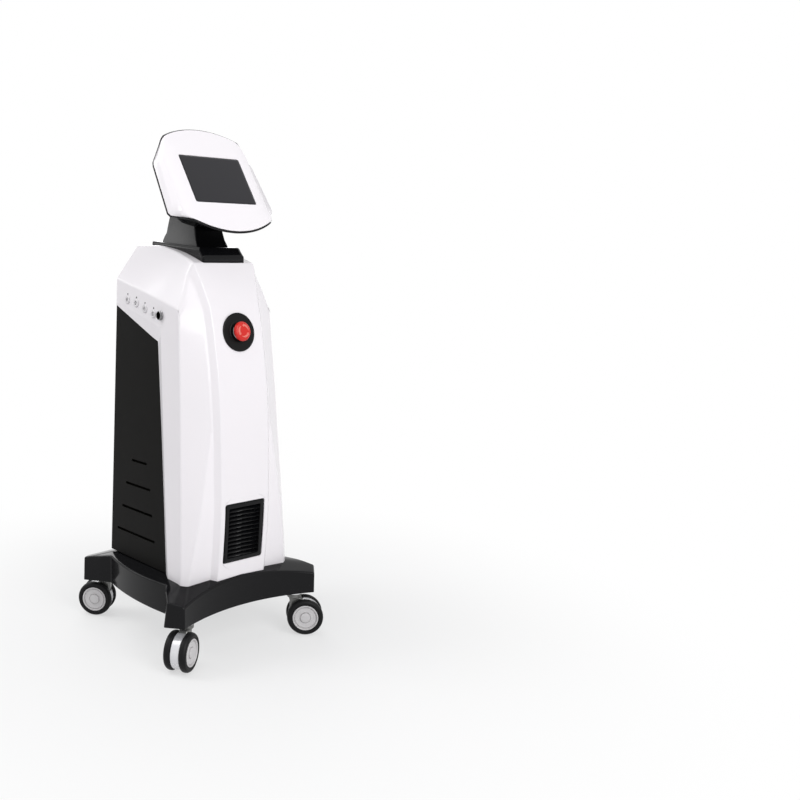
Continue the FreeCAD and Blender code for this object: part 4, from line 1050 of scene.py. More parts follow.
@dataclass
class FrontShell:
    """The white moulding: front, flanks and crown in one skin with a wall inside."""

    wall: float = 3.0
    grille_half: float = 48.6
    grille_low: float = 181.6
    grille_high: float = 302.2
    grille_round: float = 5.0
    grille_rows: int = 9
    rows_low: tuple[float, ...] = (167.0, 181.6)
    knee: float = 639.0
    front_rows: int = 26
    upper_rows: int = 3
    rear_columns: int = 8
    ease_width: float = 9.0
    rim_weight: float = 0.13
    port_bore: float = 6.6
    socket_bore: float = 8.4
    recess: Recess = field(default_factory=Recess)
    form: Form = field(default_factory=lambda: Form("front_cover_shell"))
    front: list[list[Vert]] = field(default_factory=list)

    def levels(self) -> list[float]:
        """Heights of the rows up to the recess's top.

        Returns:
            The heights, from the lowest up.
        """
        middle = [between(self.grille_low, self.grille_high, row / self.grille_rows)
                  for row in range(1, self.grille_rows + 1)]
        upper = [between(self.grille_high, self.knee, row / self.front_rows)
                 for row in range(1, self.front_rows + 1)]
        return list(self.rows_low) + middle + upper

    def front_lines(self) -> list[Callable[[float], Spot]]:
        """The right half's upright lines, from the middle to the front corner.

        Returns:
            For each line, what gives its spot at a height.
        """
        lines: list[Callable[[float], Spot]] = []
        for x in (0.0, 16.0, 32.0, self.grille_half):
            lines.append(lambda z, x=x: (x, TOWER.reach(z)))
        for out in (0.0, TOWER.chamfer):
            lines.append(lambda z, out=out: (TOWER.band_half(z) + out, TOWER.reach(z) + out))
        return lines + [TOWER.blade, lambda z: midway(TOWER.blade(z), TOWER.front_corner(z), 0.5),
                        TOWER.front_corner]

    def front_column(self, line: Callable[[float], Spot]) -> list[Point]:
        """Points of one upright line.

        Args:
            line: gives the line's spot at a height.

        Returns:
            The points, from the base up to the crown.
        """
        heights = [BASE.top(*line(TOWER.foot)) - 0.5] + self.levels()
        summit = 700.0
        for _ in range(14):
            summit = TOWER.roof(*line(summit))
        for step in range(1, self.upper_rows + 1):
            heights.append(between(self.knee, summit, step / self.upper_rows))
        return [(*line(z), z) for z in heights]

    def build(self) -> Item:
        """Builds the shell.

        Returns:
            The shell with its openings.
        """
        half = [self.front_column(line) for line in self.front_lines()]
        columns = [[(-x, y, z) for x, y, z in column] for column in half[:0:-1]] + half
        self.front = [self.form.row(column) for column in columns]
        self.front_faces()
        self.roof_faces(*(self.flank_faces(sign) for sign in (-1, 1)))
        self.round_opening()
        item = ease(self.form.done(), self.ease_width, 4, weighed=True)
        ease(wall(item, self.wall), 0.8, 2, 60)
        return settle(even(pierce(settle(item), self.bores())))

    def opening_rows(self) -> tuple[int, int]:
        """The rows at the foot and the top of the grille's opening."""
        low = self.rows_low.index(self.grille_low) + 1
        return low, low + self.grille_rows

    def front_faces(self) -> None:
        """Joins the upright lines of the front and says which edges are eased."""
        form, front, (low, high) = self.form, self.front, self.opening_rows()
        count = len(front)
        for index in range(count - 1):
            inner = all(abs(front[k][5].co.x) <= self.grille_half + 0.1 for k in (index, index + 1))
            for row in range(len(front[index]) - 1):
                if not (inner and low <= row < high):
                    form.face((front[index][row], front[index + 1][row],
                               front[index + 1][row + 1], front[index][row + 1]))
        for index, column in enumerate(front):
            place = min(index, count - 1 - index)
            for lower, upper in zip(column, column[1:]):
                blade = straight(TOWER.blade_line, lower.co.z) - TOWER.band - TOWER.chamfer
                weights = {0: 0.32, 2: 0.4 * clamp((blade - TOWER.least_strip) / 14.0),
                           3: 0.17, 4: 0.17}
                form.weigh(lower, upper, weights.get(place, 0.0))

    def flank_faces(self, sign: int) -> list[list[Vert]]:
        """Builds one flank around its recess.

        Args:
            sign: -1 for the left flank, 1 for the right.

        Returns:
            Lines of corners from the recess's top to the eave, front to back.
        """
        form, recess, corner = self.form, self.recess, self.front[0 if sign < 0 else -1]

        def at(y: float, z: float, depth: float = 0.0) -> Vert:
            """Adds a corner on the flank."""
            x, y, z = TOWER.on_flank(y, z, depth)
            return form.corner((sign * x, y, z))

        def riser(start: Vert, y: float) -> list[Vert]:
            """Adds a line of corners from one corner up to the eave."""
            return [start] + [at(y, between(start.co.z, TOWER.eave(y), step / self.upper_rows))
                              for step in range(1, self.upper_rows + 1)]

        rim_line, edge_line = Curve(recess.rim), Curve(recess.edge)
        middle, rim, edge = [], [], []
        for vert in corner[:-self.upper_rows]:
            z = vert.co.z
            rim_y = rim_line.at(z)
            middle.append(at(between(vert.co.y, rim_y, 0.5), z))
            rim.append(at(rim_y, z))
            share = (z - recess.foot) / (recess.top[1] - recess.foot)
            level = between(recess.foot, recess.panel_top[1], share)
            edge_y = edge_line.at(level)
            edge.append(at(edge_y, level, recess.inset(edge_y)))
        for left, right in ((corner, middle), (middle, rim), (rim, edge)):
            form.strip(left[:len(rim)], right, closed=False)
        lines = [corner[-self.upper_rows - 1:], riser(middle[-1], middle[-1].co.y),
                 riser(rim[-1], recess.top[0])]
        floor = [edge[-1]]
        for step in range(1, self.rear_columns + 1):
            y = between(recess.top[0], TOWER.back, step / self.rear_columns)
            share = (y - recess.top[0]) / (TOWER.back - recess.top[0])
            lines.append(riser(at(y, between(recess.top[1], recess.back_top, share)), y))
            panel_y = between(recess.panel_top[0], TOWER.back, share)
            level = between(recess.panel_top[1], recess.panel_back_top, share)
            floor.append(at(panel_y, level, recess.inset(panel_y)))
        for first, second in zip(lines, lines[1:]):
            form.strip(first, second, closed=False)
            form.weigh(first[-1], second[-1], 0.3)
        top_rim = [line[0] for line in lines[2:]]
        form.strip(top_rim, floor, closed=False)
        for line in (rim, top_rim):
            for first, second in zip(line, line[1:]):
                form.weigh(first, second, self.rim_weight)
        return lines

    def roof_faces(self, lefts: list[list[Vert]], rights: list[list[Vert]]) -> None:
        """Builds the crown and shoulders between the front and the two eaves.

        Args:
            lefts: the left flank's lines of corners.
            rights: the right flank's.
        """
        form, edge = self.form, [column[-1] for column in self.front]
        outer, band = abs(edge[0].co.x), abs(edge[4].co.x)
        rows = [edge]
        for left, right in [(a[-1], b[-1]) for a, b in zip(lefts, rights)][1:]:
            y, ridge = right.co.y, TOWER.ridge(right.co.y)
            row = [left]
            for vert in edge[1:-1]:
                x = abs(vert.co.x)
                if x < band:
                    x *= ridge / band
                else:
                    x = between(ridge, right.co.x, (x - band) / (outer - band))
                x = math.copysign(x, vert.co.x) if vert.co.x else 0.0
                row.append(form.corner((x, y, TOWER.roof(x, y))))
            rows.append(row + [right])
        for first, second in zip(rows, rows[1:]):
            form.strip(first, second, closed=False)
            for index in (4, len(edge) - 5):
                form.weigh(first[index], second[index], 0.5)
        for first, second in zip(edge, edge[1:]):
            inner = max(abs(first.co.x), abs(second.co.x)) <= band + 0.1
            form.weigh(first, second, 0.16 if inner else 0.7)

    def round_opening(self) -> None:
        """Fills the square corners of the grille's opening to a radius."""
        form, front, (low, high) = self.form, self.front, self.opening_rows()
        middle = len(front) // 2
        for sign in (-1, 1):
            column, inner = front[middle + 3 * sign], front[middle + 2 * sign]
            for row, step in ((low, 1), (high, -1)):
                corner = column[row]
                spots = []
                for other in (inner[row], column[row + step]):
                    edge = form.mesh.edges.get((corner, other))
                    share = self.grille_round / (other.co - corner.co).length
                    spots.append(bmesh.utils.edge_split(edge, corner, share)[1])
                first, last = (spot.co - corner.co for spot in spots)
                bend = [form.corner(corner.co + first * (1 - math.sin(angle))
                                    + last * (1 - math.cos(angle)))
                        for angle in (math.radians(15 * k) for k in range(1, 6))]
                form.face([corner, spots[0], *bend, spots[1]])

    def bores(self) -> Item:
        """The cutter for the air ports and the control socket.

        Returns:
            The cutter's object.
        """
        form = Form("bores")
        for place, radius in ([(place, self.port_bore) for place in AirPorts.PLACES]
                              + [(ControlSocket.PLACE, self.socket_bore)]):
            form.stack([[TOWER.port_frame(*place) @ Vector((a, b, height))
                         for a, b in circle(radius, 32)] for height in (-16.0, 12.0)])
        return form.done()


@dataclass
class Grille:
    """The louvred grille low on the front."""

    half: float = 48.1
    low: float = 182.0
    high: float = 301.8
    low_y: float = -153.1
    high_y: float = -161.0
    frame_width: float = 10.0
    front: float = 0.9
    back: float = -6.0
    slats: int = 12
    slat_depth: float = 7.6
    slat_tilt: float = 38.0

    def frame(self) -> Matrix:
        """Frame on the band: X across, Y up it, Z out of the front.

        Returns:
            The frame, with its origin at the middle of the grille's foot.
        """
        foot = Vector((0, self.low_y, self.low))
        up = (Vector((0, self.high_y, self.high)) - foot).normalized()
        return axes(foot, X_AXIS, up, X_AXIS.cross(up))

    def build(self) -> Item:
        """Builds the rounded frame and its sloping slats in one piece.

        Returns:
            The grille on the band.
        """
        tall, width, front = self.high - self.low + 0.3, self.frame_width, self.front
        form = Form("vent_grille_frame")
        form.stack([[(a, b, height) for a, b in self.outline(inset, radius, tall)]
                    for inset, radius, height in (
                        (0.0, 4.5, self.back), (0.0, 4.5, front - 2.2), (2.4, 3.4, front - 2.2),
                        (2.4, 3.4, front - 0.8), (3.2, 3.0, front), (width - 1.0, 2.4, front),
                        (width, 1.6, front - 1.6), (width, 1.6, self.back))], looped=True)
        frame = finished(ease(form.done(), 0.35, 2, 50), "black_gloss")
        pitch = (tall - 2 * width) / self.slats
        slats = Repeat(Pattern.ROW, self.slats, (0.0, pitch, 0.0)).of(
            "slats", self.slat(), BLACK_GLOSS)
        moved(slats, Matrix.Translation((0, width + pitch / 2, 0)))
        return moved(merged("vent_grille_louvres", [frame, slats]), self.frame())

    def outline(self, inset: float, radius: float, tall: float) -> list[Spot]:
        """A rounded rectangle drawn in by an inset."""
        wide = self.half - inset
        return oblong(-wide, inset, wide, tall - inset, radius)

    def slat(self) -> Item:
        """Builds one slat, a bent blade that sheds water outwards.

        Returns:
            The slat about its own middle.
        """
        lean, half = math.radians(self.slat_tilt), self.slat_depth / 2
        section = [(-half, 0.8), (0.0, 1.15), (half, 0.7), (half + 0.5, 0.0), (half, -0.7),
                   (0.0, -0.45), (-half, -0.8)]
        bent = [(-2.6 + out * math.cos(lean) - up * math.sin(lean),
                 -out * math.sin(lean) + up * math.cos(lean)) for out, up in section]
        wide = self.half - self.frame_width + 0.8
        form = Form("slat")
        form.stack([[(x, up, out) for out, up in bent] for x in (-wide, wide)])
        return form.done()


# ---- front controls

@dataclass
class EmergencyStop:
    """Disc, chrome collar, stem and the red mushroom head with its arrows."""

    height: float = 631.0
    tilt: float = 11.5
    disc_radius: float = 37.5
    collar_radius: float = 15.0
    head_radius: float = 18.8
    head_base: float = 9.7
    head_top: float = 18.2
    dome_from: float = 8.0
    seat: float = 16.1
    arrows: int = 3
    arrow_band: Spot = (8.8, 13.2)
    arrow_bend: int = 84
    arrow_point: float = 20.0

    def frame(self) -> Matrix:
        """Frame on the front, with Z out along the plunger."""
        return TOWER.band_frame(self.height, self.tilt)

    def disc(self) -> Item:
        """Builds the satin disc with a raised bead round its edge.

        Returns:
            The disc on the front.
        """
        radius = self.disc_radius
        form = turned("estop_disc", (
            (11.3, -0.2, 0), (radius - 0.8, -0.2, 0.3), (radius, 0.9, 0.4), (radius, 2.6, 0.6),
            (radius - 1.6, 3.1, 0.5), (radius - 3.4, 2.7, 0.5), (22.0, 2.7, 0.4),
            (21.0, 3.0, 0.4), (11.3, 3.0, 0)), 3, 96)
        return finished(form.place(self.frame()).done(), "black_satin", BLACK_DISC)

    def collar(self) -> Item:
        """Builds the turned chrome collar with its barrel.

        Returns:
            The collar on the disc.
        """
        edge = self.collar_radius
        form = turned("estop_ring", (
            (8.05, -16, 0), (11, -16, 0.3), (11, 3.0, 0), (edge, 3.0, 0.3), (edge, 3.9, 0.5),
            (edge - 1.4, 4.9, 0.6), (8.05, 4.9, 0.2)), 3, 72)
        return finished(form.place(self.frame()).done(), "chrome")

    def head(self) -> Item:
        """Builds the mushroom head, flared, domed and eased at every edge.

        Returns:
            The head on its plunger.
        """
        radius, base, top = self.head_radius, self.head_base, self.head_top
        form = turned("estop_mushroom_head", (
            (0, self.seat, 0), (5.05, self.seat, 0), (5.05, base, 0.2), (9.0, base, 0.8),
            (11.5, base + 1.0, 1.5), (radius - 1.2, base, 0.6), (radius, base + 1.2, 0.8),
            (radius, base + 3.6, 1.4), (radius - 1.8, top - 1.9, 2.2),
            (radius - 4.8, top - 0.4, 4), (self.dome_from, top, 4), (0, top + 0.1, 0)),
            4, 96, closed=False)
        return finished(form.place(self.frame()).done(), "red")

    def on_dome(self, radius: float, angle: float, lift: float) -> Point:
        """A point at a radius and an angle, lifted off the head's dome."""
        drop = 0.03 * max(0.0, radius - self.dome_from) ** 1.5
        return (radius * math.cos(angle), radius * math.sin(angle), self.head_top + lift - drop)

    def arrow_ring(self) -> Item:
        """Builds the crescent arrows that show which way the head twists free.

        Returns:
            The arrows on the head.
        """
        form, (inner, outer) = Form("arrow"), self.arrow_band
        bend = [math.radians(angle) for angle in range(0, self.arrow_bend + 1, 6)]
        middle, end = (inner + outer) / 2, bend[-1]
        tail = [(angle, min(1.0, 0.2 + 1.8 * index / len(bend)) * 0.9)
                for index, angle in enumerate(bend)]
        low = [self.on_dome(between(middle, edge, share), angle, -0.6)
               for edge, line in ((inner, tail), (outer, tail[::-1])) for angle, share in line]
        form.stack([low, [(x, y, z + 0.85) for x, y, z in low]])
        tip = [self.on_dome(inner - 1.2, end, 0.25), self.on_dome(outer + 1.2, end, 0.25),
               self.on_dome(middle, end + math.radians(self.arrow_point), 0.25)]
        form.stack([[(x, y, z - 0.82) for x, y, z in tip], tip])
        ring = Repeat(Pattern.RING, self.arrows).of("estop_arrows", form.done(), ARROW)
        return moved(ring, self.frame())


@dataclass
class AirPorts:
    """Four air ports with a small lamp above each."""

    PLACES = ((91.0, 689.0), (57.0, 683.0), (24.0, 673.0), (-8.0, 664.0))
    flange: float = 8.5
    bore: float = 4.0
    proud: float = 2.5
    lamp_rise: float = 11.5
    lamp: float = 1.75

    def frames(self) -> list[Matrix]:
        """Frame of each port, with Z out of the flank."""
        return [TOWER.port_frame(*place) for place in self.PLACES]

    def bodies(self) -> Item:
        """Builds the four flanged port bodies.

        Returns:
            The bodies in one piece.
        """
        form, flange, bore = Form("air_port_rings"), self.flange, self.bore
        outline = rounded((
            (0.9, -1.0, 0), (1.9, 0.6, 0.5), (2.6, 0.6, 0.4), (3.2, -2.4, 0.3), (bore, -2.4, 0.3),
            (bore, 1.7, 0), (bore + 0.8, self.proud, 0.5), (flange - 1.2, self.proud, 0.6),
            (flange, 1.2, 0.8), (flange, 0.05, 0), (6.0, 0.05, 0), (6.0, -14, 0.4),
            (3.6, -14, 0), (3.6, -24, 0.4), (0.9, -24, 0)), 3)
        for frame in self.frames():
            form.stack([[frame @ Vector((x, y, height)) for x, y in circle(radius, 48)]
                        for radius, height in outline], looped=True)
        return finished(form.done(), "white_shell", PORT_GREY)

    def lamps(self) -> Item:
        """Builds the lamps' lenses, one domed pin repeated above the ports.

        Returns:
            The lenses in one piece.
        """
        pin = turned("lamp", ((0, -8, 0), (self.lamp, -8, 0.2), (self.lamp, 0.35, 0.3),
                              (0, 1.0, 0)), 3, 24, closed=False)
        pin.place(TOWER.port_frame(0, 600).to_3x3().to_4x4())
        places = [frame @ Vector((self.lamp_rise, 0, 0)) for frame in self.frames()]
        item = Repeat(Pattern.SPOTS, spots=places).of("air_port_lenses", pin.done(), LAMP)
        return item


@dataclass
class ControlSocket:
    """The round socket for a hand control."""

    PLACE = (-34.0, 662.0)
    radius: float = 9.5
    bore: float = 7.3
    proud: float = 6.0
    floor: float = -8.0
    gap: float = 0.06

    def build(self) -> tuple[Item, Item]:
        """Builds the socket on its flank.

        Returns:
            The chrome shell and its dark keyed insert.
        """
        frame, edge, proud = TOWER.port_frame(*self.PLACE), self.radius, self.proud
        nose, bore, low = edge - 0.9, self.bore - self.gap, self.floor + 0.05
        shell = turned("control_socket_shell", (
            (0, -12, 0), (8.0, -12, 0.4), (8.0, 0.05, 0), (edge, 0.05, 0.2), (edge, 1.7, 0.5),
            (nose, 2.0, 0.3), (nose, proud - 0.8, 0.4), (nose - 0.8, proud, 0.4),
            (self.bore + 0.3, proud, 0.3), (self.bore, proud - 0.6, 0.2),
            (self.bore, self.floor, 0), (0, self.floor, 0)), 3, 64, closed=False)
        insert = turned("control_socket_insert", (
            (bore - 0.5, low, 0), (bore, low, 0), (bore, proud - 1.4, 0.3),
            (bore - 0.5, proud - 1.4, 0.2)), 2, 48)
        insert.lathe(((0, low), (bore - 0.6, low), (bore - 0.6, self.floor + 1.5),
                      (0, self.floor + 1.5)), 48)
        return (finished(shell.place(frame).done(), "chrome"),
                dress(insert.place(frame).done(), "black_satin"))


# ---- back

@dataclass
class RearPlate:
    """The flat back plate with pressed louvres, fan mouth and screws."""

    thickness: float = 3.0
    gap: float = 0.05
    inset: float = 2.6
    crown: float = 798.5
    fan_height: float = 520.0
    fan_bore: float = 43.0
    slot_low: float = 300.0
    slot_pitch: float = 20.0
    slot_count: int = 8
    slot_size: Spot = (140.0, 7.0)
    inlet: tuple[float, float, float, float] = (62.0, 205.0, 30.6, 22.6)
    switch: tuple[float, float, float, float] = (12.0, 205.0, 24.6, 22.6)
    screws: tuple[Spot, ...] = ((105.0, 190.0), (100.0, 430.0), (88.0, 690.0))

    def face(self) -> float:
        """Y of the plate's outer face."""
        return TOWER.back + self.gap + self.thickness

    def plate(self) -> Item:
        """Builds the plate with its openings cut and its edges eased.

        Returns:
            The plate with its hoods.
        """
        foot, eave = BASE.cap + 1, TOWER.eave_line(TOWER.back)
        right = [(TOWER.flank(foot) - self.inset, foot, 2.0),
                 (TOWER.flank(eave) - self.inset, eave, 8.0),
                 (TOWER.ridge(TOWER.back), self.crown, 6.0)]
        outline = rounded(right + [(-x, z, r) for x, z, r in reversed(right)])
        openings = [[(x, self.fan_height + z) for x, z in circle(self.fan_bore, 72)],
                    self.window(*self.inlet, 1.0), self.window(*self.switch, 1.0)]
        for index in range(self.slot_count):
            middle = self.slot_low + self.slot_pitch * index + self.slot_size[1] / 2
            openings.append(self.window(0.0, middle, *self.slot_size, 3.4))
        form, holes = Form("rear_plate"), Form("openings")
        self.upright(form, outline, TOWER.back + self.gap, self.face())
        for opening in openings:
            self.upright(holes, opening, 130.0, 150.0)
        item = finished(ease(pierce(form.done(), holes.done()), 0.6, 2, 50), "black_satin")
        hoods = Repeat(Pattern.ROW, self.slot_count, (0.0, 0.0, self.slot_pitch)).of(
            "hoods", self.hood(), BLACK_SATIN)
        moved(hoods, Matrix.Translation((0, self.face(), self.slot_low)))
        return merged("rear_cover_plate", [item, hoods])

    @staticmethod
    def upright(form: Form, outline: Sequence[Spot], front: float, back: float) -> None:
        """Adds a slab on an outline of (x, z) between two depths."""
        form.stack([[(x, y, z) for x, z in outline] for y in (front, back)])

    @staticmethod
    def window(x: float, z: float, wide: float, tall: float, radius: float) -> list[Spot]:
        """A rounded rectangle about a middle."""
        return oblong(x - wide / 2, z - tall / 2, x + wide / 2, z + tall / 2, radius, 4)

    def hood(self) -> Item:
        """Builds one pressed louvre hood, open downwards.

        Returns:
            The hood over a slot whose foot is at the origin.
        """
        tall, half = self.slot_size[1], self.slot_size[0] / 2
        section = [(-0.4, tall + 3.0), (0.4, tall + 2.4), (2.2, tall - 0.6), (3.4, tall * 0.35),
                   (3.6, 0.2), (2.9, 0.2), (2.7, tall * 0.35), (1.6, tall - 1.4),
                   (-0.4, tall + 1.0)]
        ends = ((-half - 3, 0.05), (-half - 1.5, 0.75), (-half + 1.5, 1.0),
                (half - 1.5, 1.0), (half + 1.5, 0.75), (half + 3, 0.05))
        form = Form("hood")
        form.stack([[(x, out * share, up) for out, up in section] for x, share in ends])
        return form.done()

    def screw_heads(self) -> Item:
        """Builds the pan-head screws with a cross recess.

        Returns:
            The screws in one piece.
        """
        screw = turned("screw", ((0, -10, 0), (2, -10, 0.5), (2, 0, 0), (4, 0, 0.2),
                                 (4, 1.0, 0.9), (2.6, 2.2, 0.8), (0, 2.3, 0)), 3, 32, closed=False)
        cross = Form("cross")
        for wide, tall in ((2.1, 0.45), (0.45, 2.1)):
            cross.stack([[(-wide, -tall, z), (wide, -tall, z), (wide, tall, z), (-wide, tall, z)]
                         for z in (1.1, 4.0)])
        item = pierce(screw.done(), cross.done(False))
        item.data.transform(Z_TO_BACK)
        places = [(sign * x, self.face(), z) for x, z in self.screws for sign in (-1, 1)]
        heads = Repeat(Pattern.SPOTS, spots=places).of("rear_screw_heads", item, BRIGHT_STEEL)
        settle(even(heads))
        return heads


@dataclass
class FanRotor:
    """The extract fan's hub and its seven curved blades."""

    height: float = 520.0
    blades: int = 7
    bore: float = 2.55
    hub: float = 17.0
    tip: float = 41.5
    front: float = 116.8
    length: float = 17.0
    pitch: float = 38.0
    sweep: float = 0.24
    camber: float = 1.8
    chord: float = 9.0
    section: tuple[Spot, ...] = ((-9, 0.2), (-4.5, 0.9), (0, 1.1), (4.5, 0.9), (9, 0.2),
                                 (4.5, -0.5), (0, -0.3), (-4.5, -0.5))

    def build(self) -> Item:
        """Builds the rotor about its shaft.

        Returns:
            The hub and its blades in one piece.
        """
        form = turned("hub", ((self.bore, 0, 0), (self.hub, 0, 0.6), (self.hub, self.length, 1.6),
                              (self.bore, self.length, 0)), 4, 64)
        hub = finished(form.done(), "black_satin")
        ring = Repeat(Pattern.RING, self.blades).of("blades", self.blade(), BLACK_SATIN)
        item = merged("fan_rotor_blades", [hub, ring])
        return moved(item, Matrix.Translation((0, self.front, self.height)) @ Z_TO_BACK)

    def blade(self) -> Item:
        """Builds one blade, cambered and swept, with its root inside the hub.

        Returns:
            The blade.
        """
        rings = []
        for step in range(7):
            share = step / 6
            radius = between(self.hub - 2.0, self.tip, share)
            lean = math.radians(between(self.pitch + 8, self.pitch - 10, share))
            ring = []
            for along, thick in self.section:
                rise = thick + self.camber * (1 - (along / self.chord) ** 2)
                side = along * math.cos(lean) - rise * math.sin(lean)
                up = along * math.sin(lean) * 0.86 + rise * math.cos(lean)
                angle = self.sweep * share * share + side / radius
                ring.append((radius * math.cos(angle), radius * math.sin(angle),
                             self.length / 2 + up))
            rings.append(ring)
        form = Form("blade")
        form.stack(rings)
        return form.done()


# ---- base

@dataclass
class BaseCover:
    """The gloss black moulded cover of the rolling base."""

    wall: float = 3.0
    leg_round: float = 4.0
    apron_round: float = 14.0
    draft: float = 0.09
    draft_from: Spot = (166.0, 120.0)
    draft_run: float = 20.0
    top_round: float = 3.5
    top_steps: int = 6
    spacing: float = 4.0
    duct: Spot = (104.0, 90.0)
    duct_back: float = 128.0
    rings: int = 20

    def quarter(self) -> tuple[list[Spot], list[Spot]]:
        """Plan of the front right quarter.

        Returns:
            The outline's spots, and the matching spots at the duct.
        """
        corner, outer, end = BASE.corner, (BASE.outer[0], -BASE.outer[1]), BASE.apron_end
        front = arc((-corner[0], -corner[1]), (0, -BASE.bow), (corner[0], -corner[1]), 60)[30:]
        side = arc((end[0], -end[1]), (BASE.apron_bulge, 0), end, 36)[:19]
        spots = [(x, y, 0.0) for x, y in front[:-1]] + [(*front[-1], self.leg_round)]
        spots += [(*outer, self.leg_round), (*side[0], self.apron_round)]
        spots += [(x, y, 0.0) for x, y in side[1:]]
        line = self.dense(rounded(spots, 8, closed=False))
        keys = [0] + [min(range(len(line)), key=lambda i, k=key: math.dist(line[i], k))
                      for key in (front[-1], outer, side[0])] + [len(line) - 1]
        wide, deep = self.duct
        stops = ((0.0, -deep), (wide - 4, -deep), (wide, -deep + 6), (wide, -deep * 0.55),
                 (wide, 0.0))
        inner: list[Spot] = []
        for first, last, start, stop in zip(keys, keys[1:], stops, stops[1:]):
            inner += [midway(start, stop, (spot - first) / (last - first))
                      for spot in range(first, last)]
        return line, inner + [stops[-1]]

    def dense(self, line: Sequence[Spot]) -> list[Spot]:
        """Adds spots where a line's runs are long.

        Args:
            line: the line's spots.

        Returns:
            The same line with spots at most a spacing apart.
        """
        spots = [line[0]]
        for first, last in zip(line, line[1:]):
            parts = max(1, math.ceil(math.dist(first, last) / self.spacing))
            spots += [midway(first, last, step / parts) for step in range(1, parts + 1)]
        return spots

    @staticmethod
    def whole(quarter: Sequence[Spot]) -> list[Spot]:
        """Mirrors a quarter to a whole ring."""
        right = list(quarter) + [(x, -y) for x, y in reversed(quarter[:-1])]
        return right + [(-x, y) for x, y in reversed(right[1:-1])]

    def build(self) -> Item:
        """Lofts the cover from its foot over its rounded edge to the duct.

        Returns:
            The cover.
        """
        outline, inner = (self.whole(part) for part in self.quarter())
        inner = [(x, y * self.duct_back / self.duct[1] if y > 0 else y) for x, y in inner]
        inward = []
        for index in range(len(outline)):
            before, after = outline[index - 1], outline[(index + 1) % len(outline)]
            run = Vector((after[0] - before[0], after[1] - before[1])).normalized()
            inward.append((-run.y, run.x))
        radius, rings = self.top_round, []
        for share in (0.0, 0.03, 0.5, 1.0):
            rings.append([self.drafted(x, y, between(BASE.bottom, BASE.top(x, y) - radius, share))
                          for x, y in outline])
        brim = rings[-1]
        for step in range(1, self.top_steps + 1):
            angle = math.radians(90 / self.top_steps * step)
            inset, drop = radius * (1 - math.cos(angle)), radius * (1 - math.sin(angle))
            ring = [(x + inset * a, y + inset * b) for (x, y, _), (a, b) in zip(brim, inward)]
            rings.append([(x, y, BASE.top(x, y) - drop) for x, y in ring])
        edge = rings[-1]
        for step in range(1, self.rings + 1):
            ring = [midway(spot[:2], stop, step / self.rings) for spot, stop in zip(edge, inner)]
            rings.append([(x, y, BASE.top(x, y)) for x, y in ring])
        form = Form("base_cover_moulding")
        form.stack(rings, capped=False)
        return finished(wall(form.done(), self.wall), "black_gloss")

    def drafted(self, x: float, y: float, z: float) -> Point:
        """Draws a leg's outer corner in as it rises.

        Args:
            x: how far right a spot of the outline is.
            y: how far back it is.
            z: its height.

        Returns:
            The drafted point.
        """
        on_leg = clamp((abs(x) - self.draft_from[0]) / self.draft_run)
        if abs(y) <= self.draft_from[1]:
            on_leg = 0.0
        shift = self.draft * (z - BASE.bottom) * on_leg
        return (math.copysign(abs(x) - shift, x), math.copysign(abs(y) + shift, y), z)


# ---- casters

